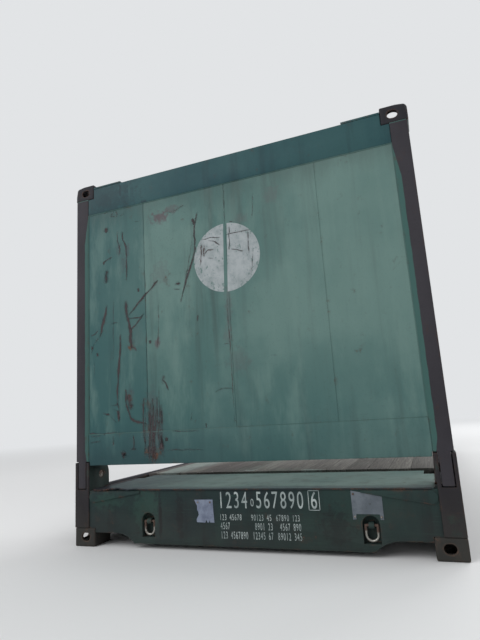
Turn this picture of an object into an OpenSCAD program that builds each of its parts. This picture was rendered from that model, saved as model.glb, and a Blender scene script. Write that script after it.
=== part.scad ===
// Collapsible flat rack for sea freight: a low steel base with a timber floor, and an
// end wall at each end that folds inward about pins in the base's corner stubs.
// X runs along the length, Y across it and Z up. The origin is on the ground at mid length.
// Within one end, depth is measured inward from the end plane and height from the ground.

/* [Overall] */
// Length over the corner castings
length = 6058; // [5700:1:6400]
// Width over the corner castings
width = 2438; // [2300:1:2600]
// Height over the corner castings with the end walls up
height = 2591; // [2400:1:2900]
// Height of the deck above the ground
deck_z = 363; // [345:1:385]

/* [Corner castings] */
// Size along the length
casting_l = 178; // [172:1:190]
// Size across the width
casting_w = 162; // [155:1:175]
// Size up the height
casting_h = 118; // [110:1:126]
// Thickness of the side walls
casting_wall = 14; // [8:1:18]
// Thickness of the two inner walls
casting_inner_wall = 12; // [8:1:13]
// Thickness of the wall that has the long slot
casting_cap = 28; // [20:1:32]
// Radius of the outer edges
casting_edge_r = 14; // [4:1:16]
// Length of the long slot
slot_l = 124.5; // [110:0.5:130]
// Width of the long slot, and of the hole in the end face
slot_w = 63.5; // [55:0.5:70]
// Slot's centre from the end plane
slot_from_end = 102.5; // [98:0.5:104]
// Slot's centre from the side plane
slot_from_side = 89.5; // [80:0.5:95]
// Length of the hole in the side face
side_hole_l = 79.5; // [66:0.5:90]
// Height of the holes in the end and side faces
side_hole_h = 51; // [44:1:54]
// Height of those holes' centres from the slotted face
side_hole_z = 62; // [58:1:66]

/* [Hinges] */
// Depth of the hinge pin from the end plane
hinge_depth = 140; // [130:1:150]
// Height of the hinge pin
hinge_z = 450; // [445:1:480]
// Radius of the hinge pin
pin_r = 25; // [15:1:32]
// Radial play of the pin in its bores
pin_play = 0.05; // [0.02:0.01:0.1]
// Distance of the pin's ends behind the outside of the stub
pin_recess = 3; // [1:1:6]
// Width of the stub across the rack
stub_w = 112; // [104:1:120]
// Thickness of each of the stub's two cheeks
cheek_t = 20; // [12:1:24]
// Radius of the cheeks round the pin
cheek_r = 90; // [80:1:92]
// Play between the moving foot and what it moves past
hinge_gap = 5; // [5:0.5:8]

/* [Base] */
// Width of the side rail's flanges
rail_w = 119; // [100:1:130]
// Distance of the side rail behind the side plane
rail_inset = 5; // [2:1:10]
// Thickness of the side rail's flanges
rail_flange_t = 18; // [10:1:22]
// Thickness of the side rail's web
rail_web_t = 10; // [6:1:14]
// Distance of the web from the side plane
rail_web_inset = 40; // [30:1:50]
// Clearance under the side rails and sills
base_clear = 30; // [20:1:40]
// Thickness of the upright ribs on the side rail
rib_t = 10; // [6:1:14]
// Distance between the ribs
rib_pitch = 475; // [400:5:560]
// Number of ribs on each side rail
rib_count = 11; // [7:2:11]
// Width of a fork pocket
pocket_w = 360; // [340:1:380]
// Height of a fork pocket
pocket_h = 115; // [100:1:120]
// Plate thickness of a fork pocket
pocket_t = 8; // [5:1:10]
// Distance between the centres of the fork pockets
pocket_pitch = 2050; // [1900:1:2100]
// Height of the pocket's underside
pocket_z = 52; // [50:1:58]
// Number of cross members
member_count = 13; // [9:2:15]
// Height of a cross member
member_h = 120; // [80:1:122]
// Flange width of a cross member
member_w = 60; // [40:1:80]
// Plate thickness of a cross member
member_t = 8; // [5:1:10]

/* [Deck] */
// Thickness of the timber floor
timber_t = 40; // [30:1:44]
// Height of the timber above the steel deck plates
timber_rise = 12; // [4:1:14]
// Length of the steel deck plate at each end
plate_l = 730; // [600:1:800]
// Length of the plate's narrow inner strip
strip_l = 180; // [120:1:220]
// Margin of that strip inside the plate's side edges
strip_margin = 65; // [40:1:90]
// Drop of the strip below the plate
strip_drop = 3; // [1:1:4]
// Thickness of the steel deck plate
plate_t = 8; // [5:1:10]
// Radius of the deck plate's outer corners
plate_corner_r = 40; // [10:1:60]
// Gap between the deck plate and the timber
deck_gap = 12; // [5:1:20]
// Depth of the flange folded down along the plate's inner edge
plate_flange_h = 110; // [60:1:130]

/* [End sills] */
// Depth of the end sill
sill_depth = 178; // [170:1:190]
// Thickness of the sill's plates
sill_t = 12; // [8:1:14]
// Thickness of the corner gusset in front of the sill's plate
gusset_t = 8; // [4:1:10]
// Height of the gusset beside the stub
gusset_h = 72; // [50:1:90]
// Length of the gusset
gusset_l = 400; // [300:1:450]
// Margin of the gusset inside the sill's outline
gusset_margin = 4; // [2:1:8]
// Height of the cut-out under the sill beside each casting
cutout_z = 90; // [75:1:100]
// Distance of the inner end of each cut-out's flat top from the side plane
cutout_inset = 324; // [309:1:334]
// Length of the curve that runs down from each cut-out's flat top
cutout_run = 140; // [110:1:145]
// Distance of the lower flange's ends inside the cut-outs' curves
sill_flange_margin = 15; // [8:1:40]

/* [Lashing rings] */
// Outer width of a ring
ring_w = 80; // [66:1:82]
// Radius of the ring's rod
ring_rod_r = 7.5; // [5:0.5:9]
// Height of a ring's lowest point
ring_low_z = 77; // [76:1:88]
// Height of the ring's pivot
ring_pivot_z = 165; // [160:1:170]
// Depth of the ring's pivot from the end plane
ring_pivot_depth = 27; // [25:1:30]
// Distance of the left ring's middle from the side plane
ring_left_inset = 571; // [560:1:660]
// Distance of the right ring's middle from the side plane
ring_right_inset = 474; // [470:1:620]
// Width of the arched notch that holds a ring
notch_w = 94; // [92:1:100]
// Depth of the box behind the notch
notch_depth = 60; // [52:1:80]
// Height of the notch's top
notch_top_z = 219; // [212:1:230]
// Height of the notch's bottom
notch_low_z = 71; // [68:1:71]
// Plate thickness of the box behind the notch
notch_t = 6; // [4:1:8]
// Width of the lug that holds the ring
lug_w = 30; // [20:1:34]
// Radius of the lug round the pivot
lug_r = 17; // [13:1:19]
// Radial play of the ring in its lug
lug_play = 0.3; // [0.2:0.1:0.6]

/* [End walls] */
// Width of a post
post_w = 104; // [96:1:108]
// Depth of a post
post_depth = 200; // [180:1:205]
// Height of the underside of the wall above the ground
wall_low_z = 520; // [515:1:535]
// Height of the top of the bottom rail
low_rail_top_z = 726; // [680:1:800]
// Depth of the bottom rail
low_rail_depth = 150; // [100:1:180]
// Distance of the bottom rail's face behind the end plane
low_rail_inset = 3; // [1:1:6]
// Gap between the bottom rail's lower part and each stub
low_rail_gap = 6; // [5:0.5:9]
// Height of the header
header_h = 205; // [190:1:240]
// Distance of the header's top below the castings' tops
header_drop = 41; // [30:1:60]
// Distance of the sheet's face behind the end plane
sheet_inset = 6; // [2:1:12]
// Thickness of the sheet
sheet_t = 6; // [3:1:8]
// Distance from the middle to the outer seams of the sheet
seam_y = 629; // [560:1:700]
// Width of a seam's groove
seam_w = 7; // [3:1:10]
// Depth of a seam's groove
seam_t = 2; // [1:0.5:2.5]
// Length of the plate on each end of the header's top
header_plate_l = 237; // [180:1:260]
// Thickness of that plate
header_plate_t = 13; // [8:1:20]
// Number of upright stiffeners behind the sheet
stiffener_count = 7; // [5:2:9]
// Distance between the stiffeners
stiffener_pitch = 300; // [240:1:320]
// Width of a stiffener
stiffener_w = 90; // [60:1:110]
// Depth of a stiffener
stiffener_depth = 140; // [100:1:170]
// Plate thickness of a stiffener
stiffener_t = 8; // [4:1:10]

/* [Hidden] */

front = false;
rear = true;
left = true;
right = false;

eps = 1;
round_fn = 64;
half_w = width / 2;
stub_inner_y = half_w - stub_w;
casting_inner_y = half_w - casting_w;
rail_inner_y = half_w - rail_inset - rail_w;
shoulder_z = hinge_z + cheek_r + hinge_gap;
heel_z = deck_z + hinge_gap;
foot_r = hinge_z - heel_z;
casting_top_z = height - casting_h;
header_top_z = height - header_drop;
header_low_z = header_top_z - header_h;
sill_top_z = deck_z - plate_t;
timber_low_z = deck_z + timber_rise - timber_t;
plate_main_l = plate_l - strip_l;
strip_half = rail_inner_y - strip_margin;
cutout_half = half_w - cutout_inset;
sill_low_half = cutout_half - cutout_run - sill_flange_margin;
cutout_rise = cutout_z - base_clear;
cutout_r = (cutout_run * cutout_run + cutout_rise * cutout_rise) / (2 * cutout_rise);
ring_left_y = half_w - ring_left_inset;
ring_right_y = half_w - ring_right_inset;
ring_bend_r = ring_w / 2 - ring_rod_r;
ring_bend_z = ring_low_z + ring_w / 2;
notch_bend_z = notch_top_z - notch_w / 2;
plate_end_x = length / 2 - plate_l;
floor_end_x = plate_end_x - deck_gap;
member_span = 2 * (floor_end_x - member_w);
member_pitch = member_span / (member_count - 1);

wall_green = [0.26, 0.42, 0.38];
header_green = [0.17, 0.33, 0.31];
base_green = [0.13, 0.2, 0.2];
deck_green = [0.38, 0.5, 0.44];
rust_brown = [0.27, 0.2, 0.17];
worn_steel = [0.6, 0.6, 0.58];
plank_brown = [0.42, 0.33, 0.27];

// Puts a shape drawn inward from the end plane at one end of the rack.
module at_end(is_rear) {
    rotate([0, 0, is_rear ? 180 : 0])
        translate([-length / 2, 0, 0])
            children();
}

// Puts a shape drawn inward from the side plane at one side of an end.
module at_side(is_left) {
    translate([0, is_left ? half_w : -half_w, 0])
        mirror([0, is_left ? 1 : 0, 0])
            children();
}

// Extrudes an outline drawn across the width and up the height, inward by depth.
module across(from_depth, depth) {
    translate([from_depth, 0, 0])
        rotate([90, 0, 90])
            linear_extrude(height = depth)
                children();
}

// Extrudes an outline drawn along the depth and up the height, across by span.
module sideways(from_y, span) {
    translate([0, from_y + span, 0])
        rotate([90, 0, 0])
            linear_extrude(height = span)
                children();
}

// A rectangle with round corners, from its low corner.
module round_rect(size, r) {
    translate([r, 0])
        square([size[0] - 2 * r, size[1]]);
    translate([0, r])
        square([size[0], size[1] - 2 * r]);
    for (x = [r, size[0] - r], y = [r, size[1] - r])
        translate([x, y])
            circle(r = r, $fn = round_fn);
}

// A slot with round ends, centred, with its long side along the first axis.
module slot(l, w) {
    square([l - w, w], center = true);
    for (s = [-1, 1])
        translate([s * (l - w) / 2, 0])
            circle(d = w, $fn = round_fn);
}

// A corner casting with its slotted face down, drawn inward from both planes.
module casting_shape() {
    difference() {
        intersection() {
            linear_extrude(height = casting_h)
                round_rect([casting_l, casting_w], casting_edge_r);
            across(0, casting_l)
                round_rect([casting_w, casting_h], casting_edge_r);
            sideways(0, casting_w)
                round_rect([casting_l, casting_h], casting_edge_r);
        }
        translate([casting_wall, casting_wall, casting_cap])
            cube([casting_l - casting_wall - casting_inner_wall,
                casting_w - casting_wall - casting_inner_wall,
                casting_h - casting_cap - casting_inner_wall]);
        translate([slot_from_end, slot_from_side, -eps])
            linear_extrude(height = casting_cap + 2 * eps)
                slot(slot_l, slot_w);
        across(-eps, casting_wall + 2 * eps)
            translate([slot_from_side, side_hole_z])
                slot(slot_w, side_hole_h);
        sideways(-eps, casting_wall + 2 * eps)
            translate([slot_from_end, side_hole_z])
                slot(side_hole_l, side_hole_h);
    }
}

module casting_base(is_rear, is_left) {
    color(base_green)
        at_end(is_rear) at_side(is_left)
            casting_shape();
}

module casting_top(is_rear, is_left) {
    color(header_green)
        at_end(is_rear) at_side(is_left)
            translate([0, 0, height])
                mirror([0, 0, 1])
                    casting_shape();
}

// The cheek's outline along the depth: square outside, round about the pin inside.
module cheek_outline() {
    translate([0, deck_z])
        square([hinge_depth, hinge_z + cheek_r - deck_z]);
    translate([0, deck_z])
        square([hinge_depth + cheek_r, hinge_z - deck_z]);
    translate([hinge_depth, hinge_z])
        circle(r = cheek_r, $fn = round_fn);
}

// The fixed half of a wall's hinge: a block on the casting with two cheeks on it.
module hinge_stub(is_rear, is_left) {
    color(base_green)
        at_end(is_rear) at_side(is_left)
            difference() {
                union() {
                    translate([0, 0, casting_h])
                        cube([casting_l, stub_w, deck_z - casting_h]);
                    for (y = [0, stub_w - cheek_t])
                        sideways(y, cheek_t)
                            cheek_outline();
                }
                sideways(-eps, stub_w + 2 * eps)
                    translate([hinge_depth, hinge_z])
                        circle(r = pin_r, $fn = round_fn);
            }
}

module hinge_pins() {
    color(worn_steel)
        for (is_rear = [front, rear], is_left = [left, right])
            at_end(is_rear) at_side(is_left)
                sideways(pin_recess, stub_w - 2 * pin_recess)
                    translate([hinge_depth, hinge_z])
                        circle(r = pin_r - pin_play, $fn = round_fn);
}

// The foot's outline: a square heel outside and a round toe that clears the deck.
module foot_outline() {
    translate([0, heel_z])
        square([hinge_depth, shoulder_z + eps - heel_z]);
    translate([0, hinge_z])
        square([min(post_depth, hinge_depth + foot_r), shoulder_z + eps - hinge_z]);
    translate([hinge_depth, hinge_z])
        circle(r = foot_r, $fn = round_fn);
}

module post(is_rear, is_left) {
    foot_w = stub_w - 2 * (cheek_t + hinge_gap);
    color(rust_brown)
        at_end(is_rear) at_side(is_left)
            difference() {
                union() {
                    translate([0, stub_w - post_w, shoulder_z])
                        cube([post_depth, post_w, casting_top_z - shoulder_z]);
                    sideways(cheek_t + hinge_gap, foot_w)
                        foot_outline();
                }
                sideways(-eps, stub_w + 2 * eps)
                    translate([hinge_depth, hinge_z])
                        circle(r = pin_r, $fn = round_fn);
            }
}

// The side rail: an upright web between two flanges, with ribs on its outer side.
module side_rail(is_left) {
    rail_l = length - 2 * casting_l;
    web_low_z = base_clear + rail_flange_t;
    web_h = deck_z - base_clear - 2 * rail_flange_t;
    color(base_green)
        at_side(is_left)
            difference() {
                union() {
                    for (z = [base_clear, deck_z - rail_flange_t])
                        translate([-rail_l / 2, rail_inset, z])
                            cube([rail_l, rail_w, rail_flange_t]);
                    translate([-rail_l / 2, rail_web_inset, web_low_z])
                        cube([rail_l, rail_web_t, web_h]);
                    for (i = [0 : rib_count - 1])
                        translate([(i - (rib_count - 1) / 2) * rib_pitch - rib_t / 2,
                                rail_inset + rib_t, web_low_z])
                            cube([rib_t, rail_web_inset - rail_inset - rib_t, web_h]);
                }
                for (s = [-1, 1])
                    translate([s * pocket_pitch / 2 - pocket_w / 2 - pocket_t,
                            rail_inset - eps, pocket_z - pocket_t])
                        cube([pocket_w + 2 * pocket_t, rail_w + 2 * eps, pocket_h + 2 * pocket_t]);
            }
}

// Two rectangular tubes that run across the base and through both side rails.
module fork_pockets() {
    tube_l = width - 2 * rail_inset;
    color(base_green)
        for (s = [-1, 1])
            translate([s * pocket_pitch / 2, 0, pocket_z])
                difference() {
                    translate([-pocket_w / 2 - pocket_t, -tube_l / 2, -pocket_t])
                        cube([pocket_w + 2 * pocket_t, tube_l, pocket_h + 2 * pocket_t]);
                    translate([-pocket_w / 2, -tube_l / 2 - eps, 0])
                        cube([pocket_w, tube_l + 2 * eps, pocket_h]);
                }
}

// Channels across the base that carry the timber floor.
module cross_members() {
    low_z = timber_low_z - member_h;
    color(base_green)
        for (i = [0 : member_count - 1])
            translate([i * member_pitch - member_span / 2, 0, 0]) {
                translate([-member_t / 2, -rail_inner_y, low_z])
                    cube([member_t, 2 * rail_inner_y, member_h]);
                for (z = [low_z, timber_low_z - member_t])
                    translate([-member_w / 2, -rail_inner_y, z])
                        cube([member_w, 2 * rail_inner_y, member_t]);
            }
}

module timber_floor() {
    color(plank_brown)
        translate([-floor_end_x, -rail_inner_y, timber_low_z])
            cube([2 * floor_end_x, 2 * rail_inner_y, timber_t]);
}

// The steel plate at one end of the deck, with a narrow inner strip whose edge is folded down.
module deck_plate(is_rear) {
    strip_z = sill_top_z - strip_drop;
    color(deck_green)
        at_end(is_rear) {
            translate([0, -rail_inner_y, sill_top_z])
                linear_extrude(height = plate_t) {
                    translate([plate_corner_r, 0])
                        square([plate_main_l - plate_corner_r, 2 * rail_inner_y]);
                    translate([0, plate_corner_r])
                        square([plate_main_l, 2 * (rail_inner_y - plate_corner_r)]);
                    for (y = [plate_corner_r, 2 * rail_inner_y - plate_corner_r])
                        translate([plate_corner_r, y])
                            circle(r = plate_corner_r, $fn = round_fn);
                }
            translate([plate_main_l - plate_t, -strip_half, strip_z])
                cube([strip_l + plate_t, 2 * strip_half, plate_t]);
            translate([plate_l - plate_t, -strip_half, sill_top_z - plate_flange_h])
                cube([plate_t, 2 * strip_half, plate_flange_h - strip_drop + eps]);
        }
}

// The sill's outline across the width, cut up beside each casting.
module sill_outline() {
    difference() {
        union() {
            translate([-stub_inner_y, casting_h])
                square([2 * stub_inner_y, sill_top_z - casting_h]);
            translate([-casting_inner_y, base_clear])
                square([2 * casting_inner_y, casting_h - base_clear + eps]);
        }
        for (s = [-1, 1])
            mirror([s < 0 ? 1 : 0, 0]) {
                translate([cutout_half, 0])
                    square([half_w, cutout_z]);
                translate([cutout_half, cutout_z - cutout_r])
                    circle(r = cutout_r, $fn = 2 * round_fn);
            }
    }
}

// The arched notch in the sill's face, with its middle at y.
module notch_outline(y, grow) {
    translate([y - notch_w / 2 - grow, notch_low_z - grow])
        square([notch_w + 2 * grow, notch_bend_z - notch_low_z + grow]);
    translate([y, notch_bend_z])
        circle(r = notch_w / 2 + grow, $fn = round_fn);
}

// The gusset's outline beside the left stub: a round knuckle and a long taper.
module gusset_outline() {
    knuckle_r = gusset_h / 2;
    knuckle_y = stub_inner_y - gusset_margin - knuckle_r;
    top_z = sill_top_z - gusset_margin;
    tip_y = stub_inner_y - gusset_l;
    polygon([[knuckle_y, top_z], [tip_y, top_z], [tip_y, top_z - sill_t], [knuckle_y, top_z - gusset_h]]);
    translate([knuckle_y, top_z - knuckle_r])
        circle(r = knuckle_r, $fn = round_fn);
}

// The lug in a notch that a ring turns in.
module ring_lug(y) {
    difference() {
        sideways(y - lug_w / 2, lug_w) {
            translate([ring_pivot_depth, ring_pivot_z - lug_r])
                square([notch_depth - ring_pivot_depth + eps, 2 * lug_r]);
            translate([ring_pivot_depth, ring_pivot_z])
                circle(r = lug_r, $fn = round_fn);
        }
        sideways(y - lug_w / 2 - eps, lug_w + 2 * eps)
            translate([ring_pivot_depth, ring_pivot_z])
                circle(r = ring_rod_r + lug_play, $fn = round_fn);
    }
}

// The end sill: a face plate, a back plate, two flanges and a boxed notch for each ring.
module end_sill(is_rear) {
    color(base_green)
        at_end(is_rear) {
            difference() {
                union() {
                    for (x = [gusset_t, sill_depth - sill_t])
                        across(x, sill_t)
                            sill_outline();
                    translate([gusset_t, -stub_inner_y, sill_top_z - sill_t])
                        cube([sill_depth - gusset_t, 2 * stub_inner_y, sill_t]);
                    translate([gusset_t, -sill_low_half, base_clear])
                        cube([sill_depth - gusset_t, 2 * sill_low_half, sill_t]);
                    for (y = [ring_left_y, -ring_right_y])
                        across(gusset_t + sill_t - eps, notch_depth + notch_t - gusset_t - sill_t + eps)
                            notch_outline(y, notch_t);
                    for (s = [0, 1])
                        across(0, gusset_t)
                            mirror([s, 0])
                                gusset_outline();
                }
                for (y = [ring_left_y, -ring_right_y])
                    across(-eps, notch_depth + eps)
                        notch_outline(y, 0);
            }
            for (y = [ring_left_y, -ring_right_y])
                ring_lug(y);
        }
}

// A lashing ring: a straight bar in the lug, two arms and a round bend.
module lashing_ring(is_rear, y) {
    color(worn_steel)
        at_end(is_rear)
            translate([ring_pivot_depth, y, 0]) {
                translate([0, ring_bend_r, ring_pivot_z])
                    rotate([90, 0, 0])
                        cylinder(r = ring_rod_r, h = 2 * ring_bend_r, $fn = round_fn);
                for (s = [-1, 1])
                    translate([0, s * ring_bend_r, 0]) {
                        translate([0, 0, ring_bend_z])
                            cylinder(r = ring_rod_r, h = ring_pivot_z - ring_bend_z, $fn = round_fn);
                        translate([0, 0, ring_pivot_z])
                            sphere(r = ring_rod_r, $fn = round_fn);
                    }
                translate([0, 0, ring_bend_z])
                    rotate([0, 90, 0])
                        rotate([0, 0, -90])
                            rotate_extrude(angle = 180, $fn = round_fn)
                                translate([ring_bend_r, 0])
                                    circle(r = ring_rod_r, $fn = round_fn);
            }
}

// The beam across the top of a wall, narrower between the castings than the posts.
module header(is_rear) {
    color(header_green)
        at_end(is_rear)
            across(0, casting_l) {
                translate([-stub_inner_y, header_low_z])
                    square([2 * stub_inner_y, casting_top_z - header_low_z]);
                translate([-casting_inner_y, header_low_z])
                    square([2 * casting_inner_y, header_top_z - header_low_z]);
            }
}

// The plate on each end of the header, beside the castings.
module header_plates(is_rear) {
    color(header_green)
        at_end(is_rear)
            for (s = [0, 1])
                mirror([0, s, 0])
                    translate([0, casting_inner_y - header_plate_l, header_top_z])
                        cube([casting_l, header_plate_l, header_plate_t]);
}

// The beam across the bottom of a wall, with its ends cut back beside the stubs.
module bottom_rail(is_rear) {
    low_half = stub_inner_y - low_rail_gap;
    color(wall_green)
        at_end(is_rear)
            across(low_rail_inset, low_rail_depth) {
                translate([-stub_inner_y, shoulder_z])
                    square([2 * stub_inner_y, low_rail_top_z - shoulder_z]);
                translate([-low_half, wall_low_z])
                    square([2 * low_half, low_rail_top_z - wall_low_z]);
            }
}

// The steel sheet of a wall, with a groove along each upright seam.
module panel(is_rear) {
    color(wall_green)
        at_end(is_rear)
            difference() {
                translate([sheet_inset, -stub_inner_y, low_rail_top_z])
                    cube([sheet_t, 2 * stub_inner_y, header_low_z - low_rail_top_z]);
                for (y = [-seam_y, 0, seam_y])
                    translate([sheet_inset - eps, y - seam_w / 2, low_rail_top_z - eps])
                        cube([seam_t + eps, seam_w, header_low_z - low_rail_top_z + 2 * eps]);
            }
}

// Channels behind the sheet, closed by it.
module stiffeners(is_rear) {
    back = sheet_inset + sheet_t;
    color(wall_green)
        at_end(is_rear)
            for (i = [0 : stiffener_count - 1])
                translate([back, (i - (stiffener_count - 1) / 2) * stiffener_pitch, low_rail_top_z])
                    linear_extrude(height = header_low_z - low_rail_top_z)
                        difference() {
                            translate([0, -stiffener_w / 2])
                                square([stiffener_depth, stiffener_w]);
                            translate([-eps, stiffener_t - stiffener_w / 2])
                                square([stiffener_depth + eps - stiffener_t,
                                    stiffener_w - 2 * stiffener_t]);
                        }
}

side_rail(left);  // side_rail_left
side_rail(right);  // side_rail_right
end_sill(front);  // end_sill_front
end_sill(rear);  // end_sill_rear
cross_members();
fork_pockets();
timber_floor();
deck_plate(front);  // deck_plate_front
deck_plate(rear);  // deck_plate_rear
casting_base(front, left);  // casting_base_front_left
casting_base(front, right);  // casting_base_front_right
casting_base(rear, left);  // casting_base_rear_left
casting_base(rear, right);  // casting_base_rear_right
hinge_stub(front, left);  // hinge_stub_front_left
hinge_stub(front, right);  // hinge_stub_front_right
hinge_stub(rear, left);  // hinge_stub_rear_left
hinge_stub(rear, right);  // hinge_stub_rear_right
hinge_pins();
post(front, left);  // post_front_left
post(front, right);  // post_front_right
header(front);  // header_front
header_plates(front);  // header_plates_front
bottom_rail(front);  // bottom_rail_front
panel(front);  // panel_front
stiffeners(front);  // stiffeners_front
casting_top(front, left);  // casting_top_front_left
casting_top(front, right);  // casting_top_front_right
post(rear, left);  // post_rear_left
post(rear, right);  // post_rear_right
header(rear);  // header_rear
header_plates(rear);  // header_plates_rear
bottom_rail(rear);  // bottom_rail_rear
panel(rear);  // panel_rear
stiffeners(rear);  // stiffeners_rear
casting_top(rear, left);  // casting_top_rear_left
casting_top(rear, right);  // casting_top_rear_right
lashing_ring(front, ring_left_y);  // ring_front_left
lashing_ring(front, -ring_right_y);  // ring_front_right
lashing_ring(rear, ring_left_y);  // ring_rear_left
lashing_ring(rear, -ring_right_y);  // ring_rear_right
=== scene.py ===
"""Dresses a packed 20 ft collapsible flat rack: worn paint, rust, planks, welds and a plain studio."""
import sys
import logging
import math
import random
from dataclasses import dataclass
from enum import Enum
from typing import Any, Iterable

import bmesh
import bpy
from mathutils import Matrix, Vector, noise


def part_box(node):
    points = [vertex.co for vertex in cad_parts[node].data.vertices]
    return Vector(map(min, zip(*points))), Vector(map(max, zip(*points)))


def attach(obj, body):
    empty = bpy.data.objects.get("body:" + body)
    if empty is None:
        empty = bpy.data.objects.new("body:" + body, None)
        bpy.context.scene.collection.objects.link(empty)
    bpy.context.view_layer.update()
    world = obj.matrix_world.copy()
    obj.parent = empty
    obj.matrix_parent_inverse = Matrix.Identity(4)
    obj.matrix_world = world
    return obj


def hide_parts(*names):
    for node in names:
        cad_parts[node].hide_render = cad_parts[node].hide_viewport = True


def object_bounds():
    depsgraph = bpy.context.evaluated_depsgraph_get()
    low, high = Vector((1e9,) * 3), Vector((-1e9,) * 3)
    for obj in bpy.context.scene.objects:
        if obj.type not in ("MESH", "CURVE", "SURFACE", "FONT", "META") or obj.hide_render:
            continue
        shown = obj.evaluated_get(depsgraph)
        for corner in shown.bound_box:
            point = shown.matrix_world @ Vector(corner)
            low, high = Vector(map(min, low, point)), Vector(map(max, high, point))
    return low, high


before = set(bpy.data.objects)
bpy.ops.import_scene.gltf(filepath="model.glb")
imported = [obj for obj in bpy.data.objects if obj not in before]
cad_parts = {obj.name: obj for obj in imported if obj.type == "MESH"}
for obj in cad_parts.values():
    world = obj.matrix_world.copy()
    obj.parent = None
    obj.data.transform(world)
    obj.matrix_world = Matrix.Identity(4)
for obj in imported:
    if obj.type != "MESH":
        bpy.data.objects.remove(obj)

LOG = logging.getLogger("flat_rack")

CAD_LOW, CAD_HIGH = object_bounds()
MM = 0.001
HALF_LENGTH = CAD_HIGH.x
WELD_DISTANCE = 0.00002
CUT_DISTANCE = 1e-6
SHEET_WELD_DISTANCE = 1e-5
FLAT_ANGLE = math.radians(0.4)
SHARP_ANGLE = math.radians(28)
SMOOTH_ANGLE = math.radians(34)
WORN_CORNER = 0.028

Colour = tuple[float, float, float, float]
Place = tuple[float, float, float]
Spots = tuple[tuple[float, float, float, float, float], ...]
Run = tuple[Vector, Vector, float]

SCREEN_TOE = 0.04045
TOE_SLOPE = 12.92
CURVE_SHIFT = 0.055
CURVE_POWER = 2.4


def paint(red: int, green: int, blue: int) -> Colour:
    """Turns a colour as it shows on a screen into the light that shaders take.

    Args:
        red: Red from 0 to 255.
        green: Green from 0 to 255.
        blue: Blue from 0 to 255.

    Returns:
        The linear colour with a full alpha.
    """
    shares = (level / 255 for level in (red, green, blue))
    linear = (share / TOE_SLOPE if share <= SCREEN_TOE
              else ((share + CURVE_SHIFT) / (1 + CURVE_SHIFT)) ** CURVE_POWER for share in shares)
    return (*linear, 1.0)


DARK_RUST = paint(66, 50, 44)
ORANGE_RUST = paint(104, 76, 62)
ROAD_DIRT = paint(70, 68, 62)


class End(Enum):
    """An end of the rack. The camera faces the front one."""

    FRONT = "front"
    REAR = "rear"

    @property
    def place(self) -> Matrix:
        """Takes a shape that is drawn inward from an end plane to this end."""
        turn = Matrix.Rotation(math.pi if self is End.REAR else 0.0, 4, "Z")
        return turn @ Matrix.Translation((-HALF_LENGTH, 0.0, 0.0))

    @property
    def wall(self) -> str:
        """The body of this end's folding wall."""
        return f"wall_{self.value}"


class Side(Enum):
    """A side of an end, as it is seen from outside that end."""

    LEFT = "left"
    RIGHT = "right"


class Value:
    """A number that varies over a surface: the output socket of a shader node."""

    def __init__(self, nodes: "Nodes", socket: bpy.types.NodeSocket) -> None:
        """Keeps the socket and the nodes that it is among."""
        self.nodes = nodes
        self.socket = socket

    def _math(self, operation: str, first: "Value | float", second: "Value | float" = 0.0) -> "Value":
        """Adds one Math node."""
        node = self.nodes.add("ShaderNodeMath", {"operation": operation}, {0: first, 1: second})
        return Value(self.nodes, node.outputs[0])

    def __add__(self, other: "Value | float") -> "Value":
        """This plus other."""
        return self._math("ADD", self, other)

    __radd__ = __add__

    def __sub__(self, other: "Value | float") -> "Value":
        """This less other."""
        return self._math("SUBTRACT", self, other)

    def __rsub__(self, other: "Value | float") -> "Value":
        """Other less this."""
        return self._math("SUBTRACT", other, self)

    def __mul__(self, other: "Value | float") -> "Value":
        """This times other."""
        return self._math("MULTIPLY", self, other)

    __rmul__ = __mul__

    def __abs__(self) -> "Value":
        """The size of this without its sign."""
        return self._math("ABSOLUTE", self)

    def most(self, other: "Value | float") -> "Value":
        """The larger of this and other."""
        return self._math("MAXIMUM", self, other)

    def band(self, low: float, high: float) -> "Value":
        """Rises smoothly from 0 at low to 1 at high, or falls where low is the larger.

        Args:
            low: The value that gives 0.
            high: The value that gives 1.

        Returns:
            A mask from 0 to 1.
        """
        if low > high:
            return 1.0 - self.band(high, low)
        settings = {"interpolation_type": "SMOOTHSTEP"}
        node = self.nodes.add("ShaderNodeMapRange", settings, {0: self, 1: low, 2: high})
        return Value(self.nodes, node.outputs[0])


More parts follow.
